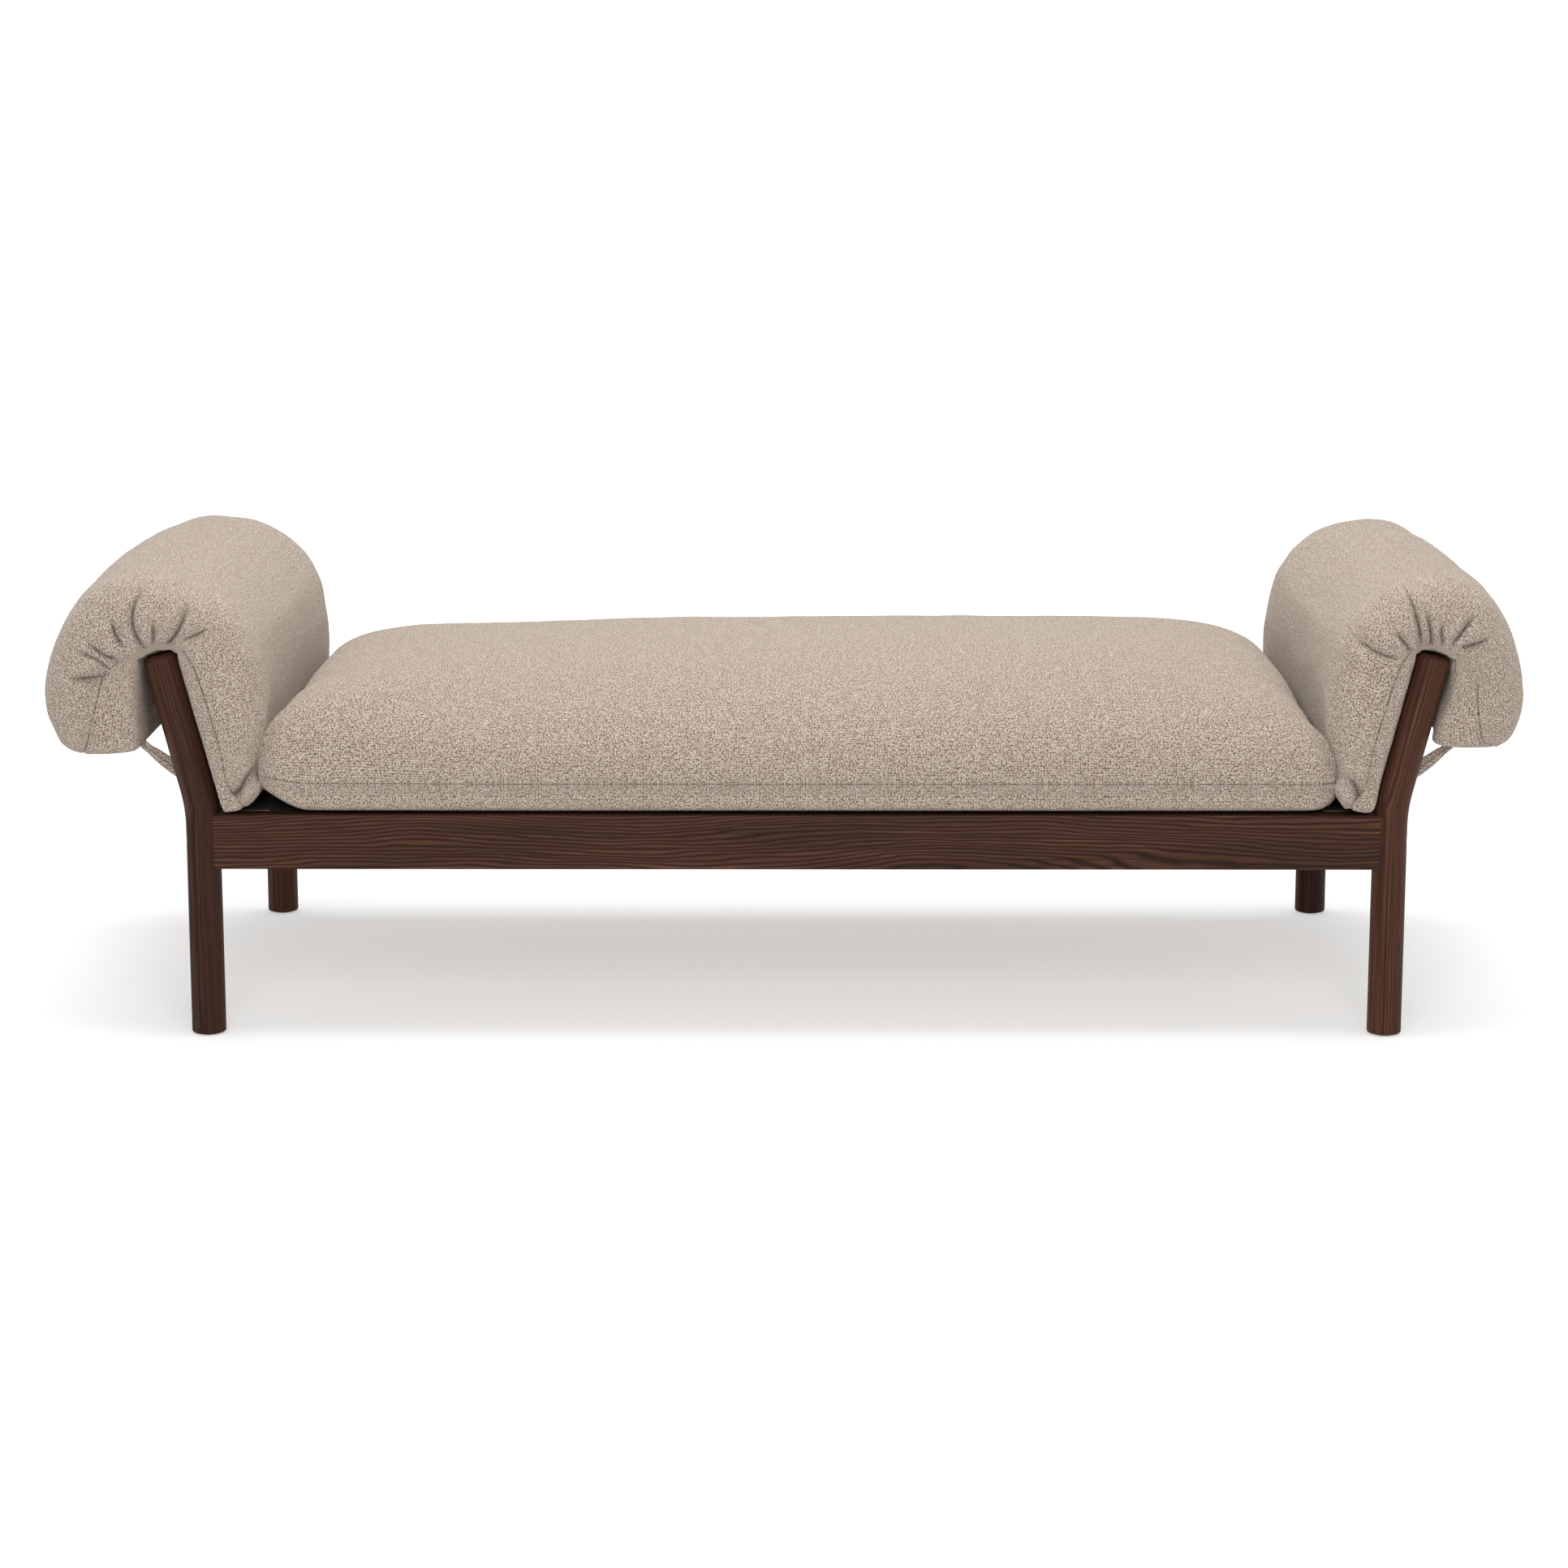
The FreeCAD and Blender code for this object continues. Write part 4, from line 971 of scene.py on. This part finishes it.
def wood_material(name, axis, seed, drift_reach, spacing, strength, stretch, lean=0):
    """Ash stained dark walnut, with its grain along one axis: long pores, growth rings and soft streaks."""
    n = Nodes(name)
    place = n.here()
    if lean:
        place = along_post(n, place, lean)
    slow = [1.0, 1.0, 1.0]
    slow[axis] = stretch
    fine = [1.0, 1.0, 1.0]
    fine[axis] = 0.02
    slope = list(RING_SLOPE)
    slope.insert(axis, 0.0)
    move = (seed * 1.37, seed * 0.73, seed * 2.11)
    slow_place = n.add("Mapping", Vector=place, Location=move, Scale=tuple(slow)).outputs[0]
    fine_place = n.add("Mapping", Vector=place, Location=move, Scale=tuple(fine)).outputs[0]
    drift = n.noise(slow_place, 11.0, 1.5, 0.4)
    waver = n.noise(slow_place, 48.0, 2.0, 0.5)
    depth = n.add("VectorMath", {"operation": "DOT_PRODUCT"}, i0=place, i1=tuple(slope)).outputs[1]
    depth = n.plus(depth, n.times(drift, drift_reach))
    depth = n.plus(depth, n.times(waver, spacing * 2.2))
    turn = n.times(depth, 2 * math.pi / spacing)
    ring = n.times(n.plus(n.math("SINE", turn), 1.0), 0.5)
    pores = n.noise(fine_place, 1100.0, 2.0, 0.6)
    streak = n.noise(fine_place, 260.0, 3.0, 0.6)
    broad = n.noise(slow_place, 7.0, 2.0, 0.5)
    line = n.math("POWER", ring, 1.6)
    line = n.times(line, n.plus(n.times(streak, 1.5), 0.35), clamp=True)
    pit = n.ramp(pores, ((0.52, (0, 0, 0)), (0.66, (1, 1, 1))))
    dark = n.math("MAXIMUM", line, n.times(pit, 0.55))
    tone = n.plus(n.times(streak, 0.5), n.times(broad, 0.5))
    colour = n.ramp(tone, ((0.34, srgb(*WOOD_LOW)), (0.50, srgb(*WOOD_MID)), (0.68, srgb(*WOOD_HIGH))))
    colour = n.mix(n.times(dark, strength), colour, srgb(*WOOD_LINE))
    rough = n.plus(0.42, n.times(dark, 0.3))
    height = n.minus(n.times(streak, 0.3), dark)
    n.shader.inputs["Specular IOR Level"].default_value = 0.12
    return n.finish(colour, rough, height, 0.0003, 0.8)


def plain_wood(name, tones, axis):
    """Unfinished pale wood for the parts under the deck."""
    n = Nodes(name)
    dark, light = (srgb(*tone) for tone in tones)
    place = n.here()
    scale = [1.0, 1.0, 1.0]
    scale[axis] = 0.03
    along = n.add("Mapping", Vector=place, Scale=tuple(scale)).outputs[0]
    grain = n.noise(along, 320.0, 4.0, 0.6)
    broad = n.noise(along, 40.0, 2.0)
    value = n.plus(n.times(grain, 0.6), n.times(broad, 0.4))
    return n.finish(n.ramp(value, ((0.35, dark), (0.62, light))), 0.62, grain, 0.0003, 0.5)


def deck_material():
    """Black non-woven deck cloth."""
    n = Nodes("black_nonwoven")
    place = n.here()
    speck = n.noise(place, 900.0, 3.0, 0.7)
    dimple = n.add("TexVoronoi", Vector=place, Scale=420.0).outputs[0]
    colour = n.ramp(speck, ((0.3, srgb(*DECK_BLACK[0])), (0.7, srgb(*DECK_BLACK[1]))))
    height = n.plus(speck, n.times(dimple, 0.6))
    return n.finish(colour, 0.9, height, 0.0005, 0.6)


def metal_material(name, tone, rough):
    """Plated metal with fine tool marks."""
    n = Nodes(name)
    colour = srgb(*tone)
    place = n.here()
    marks = n.noise(place, 1400.0, 3.0, 0.6)
    patch = n.noise(place, 160.0, 2.0)
    dark = tuple(0.72 * c for c in colour)
    shade = n.ramp(patch, ((0.3, dark), (0.7, colour)))
    n.shader.inputs["Metallic"].default_value = 1.0
    return n.finish(shade, n.plus(rough, n.times(marks, 0.15)), marks, 0.0001, 0.4)


def soft_plastic(name, tones, scale, bump):
    """A matt moulded or knitted synthetic with a fine texture."""
    n = Nodes(name)
    dark, light = (srgb(*tone) for tone in tones)
    place = n.here()
    grain = n.noise(place, scale, 3.0, 0.6)
    ribs = n.add("TexWave", {"bands_direction": "Z"}, Vector=place, Scale=scale * 0.6,
                 Distortion=1.0).outputs[1]
    value = n.plus(n.times(grain, 0.7), n.times(ribs, 0.3))
    return n.finish(n.ramp(value, ((0.3, dark), (0.7, light))), 0.6, value, bump, 0.6)


def dress_frame(zip_metal):
    """Gives every CAD node that stays in view its material."""
    posts = [end + "_" + side + "_post" for end, _ in ENDS for side, _ in SIDES]
    upright = [wood_material("ash_post_%d" % k, 2, 3.0 + 5 * k, *POST_GRAIN, lean=-1 if "left" in post else 1)
               for k, post in enumerate(posts)]
    along = {end: wood_material("ash_rail_" + end, 0, seed, *RAIL_GRAIN)
             for end, seed in (("front", 1.0), ("rear", 9.0))}
    across = wood_material("ash_cross_rails", 1, 4.0, *RAIL_GRAIN)
    pale_x = plain_wood("pale_wood_lengthwise", PALE_LENGTHWISE, 0)
    pale_y = plain_wood("pale_wood_crosswise", PALE_CROSSWISE, 1)
    beech = plain_wood("beech_dowel", BEECH, 0)
    steel = metal_material("zinc_plated_steel", ZINC, 0.32)
    yellow = metal_material("yellow_zinc", YELLOW_ZINC, 0.35)
    nylon = soft_plastic("black_nylon_glide", NYLON, 700.0, 0.0002)
    loops = soft_plastic("loop_pile", LOOP_PILE, 1100.0, 0.0008)
    table = {"centre_brace": pale_x, "seat_zip_slider": zip_metal}
    table.update(zip(posts, upright))
    table.update((post.replace("post", "glide"), nylon) for post in posts)
    for end, _ in ENDS:
        table[end + "_rail"] = along[end]
        table[end + "_ledger"] = pale_x
    for side, _ in SIDES:
        table[side + "_end_rail"] = across
        table[side + "_top_rail"] = across
        table[side + "_bolster_strap_patches"] = loops
        table[side + "_bolster_zip_slider"] = zip_metal
    table.update((slat, pale_y) for slat in SLATS)
    table.update((name, steel) for name in ("rail_bolts", "barrel_nuts"))
    table.update((name, yellow) for name in ("ledger_screws", "slat_screws"))
    table.update((name + "_dowels", beech) for name in ("rail", "end_rail", "top_rail", "brace"))
    for name, material in table.items():
        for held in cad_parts[name].material_slots:
            held.material = material


# ---- stage ----
def make_floor():
    """A wide pale floor with a soft light of its own, which grows away from the daybed."""
    n = Nodes("studio_floor")
    place = n.here()
    speck = n.noise(place, 3.0, 2.0)
    dark, light = ((tone,) * 3 for tone in FLOOR_TONES)
    n.finish(n.ramp(speck, ((0.3, dark), (0.7, light))), 0.9, None, 0)
    n.shader.inputs["Emission Color"].default_value = (1, 1, 1, 1)
    n.shader.inputs["Specular IOR Level"].default_value = 0.0
    away = n.add("VectorMath", {"operation": "LENGTH"}, i0=place).outputs[1]
    glow = n.add("MapRange", {"interpolation_type": "SMOOTHSTEP"}, Value=away)
    for socket, value in zip(("From Min", "From Max", "To Min", "To Max"), (*GLOW_REACH, *FLOOR_GLOW)):
        glow.inputs[socket].default_value = value
    n.put(n.shader.inputs["Emission Strength"], glow.outputs[0])
    corners_xy = [(x * FLOOR_HALF, y * FLOOR_HALF, 0) for x, y in ((-1, -1), (1, -1), (1, 1), (-1, 1))]
    floor = new_object("studio_floor", corners_xy, [(0, 1, 2, 3)])
    floor.data.materials.append(n.material)


def make_world():
    """An even white surround, seen a little brighter than it lights."""
    world = bpy.data.worlds.new("studio")
    world.use_nodes = True
    bpy.context.scene.world = world
    tree = world.node_tree
    back = tree.nodes["Background"]
    path = tree.nodes.new("ShaderNodeLightPath")
    level = tree.nodes.new("ShaderNodeMix")
    level.inputs[2].default_value = WORLD_LIGHT
    level.inputs[3].default_value = WORLD_SEEN
    tree.links.new(path.outputs["Is Camera Ray"], level.inputs[0])
    tree.links.new(level.outputs[0], back.inputs["Strength"])
    back.inputs["Color"].default_value = (1, 1, 1, 1)


def make_lights():
    """A soft light overhead and fill from the front."""
    for name, place, aim, size, power in LIGHTS:
        lamp = bpy.data.lights.new(name, "AREA")
        lamp.shape = "RECTANGLE"
        lamp.size, lamp.size_y = size
        lamp.energy = power
        holder = bpy.data.objects.new(name, lamp)
        holder.location = place
        holder.rotation_euler = (Vector(aim) - Vector(place)).to_track_quat("-Z", "Y").to_euler()
        bpy.context.scene.collection.objects.link(holder)


def make_camera():
    """A portrait lens in front of the daybed, a little above it and tilted down."""
    camera = bpy.data.cameras.new("camera")
    camera.lens = CAMERA_LENS
    camera.sensor_width = CAMERA_SENSOR
    view = bpy.data.objects.new("camera", camera)
    view.location = CAMERA_PLACE
    view.rotation_euler = (math.radians(90 - CAMERA_TILT), 0, math.radians(CAMERA_YAW))
    bpy.context.scene.collection.objects.link(view)
    bpy.context.scene.camera = view
    bpy.context.scene.view_settings.view_transform = "Standard"


weave = weave_material()
antique = metal_material("antique_zip_metal", OLD_BRASS, 0.38)
dress_frame(antique)
tape = soft_plastic("woven_zip_tape", ZIP_TAPE, 900.0, 0.0003)
make_seat(weave)
for side_name, sign in SIDES:
    make_bolster(side_name, sign, weave)
    for end_name, end_sign in ENDS:
        make_strap(side_name, sign, end_name, end_sign, weave)
    bolster = side_name + "_bolster"
    make_zip(bolster + "_zip", bolster + "_zip_tape", bolster, 1, 0, -sign, (tape, antique))
make_zip("seat_zip_closed", "seat_zip_tape", "seat", 0, 1, 1, (tape, antique))
make_deck(deck_material())
make_floor()
make_world()
make_lights()
make_camera()
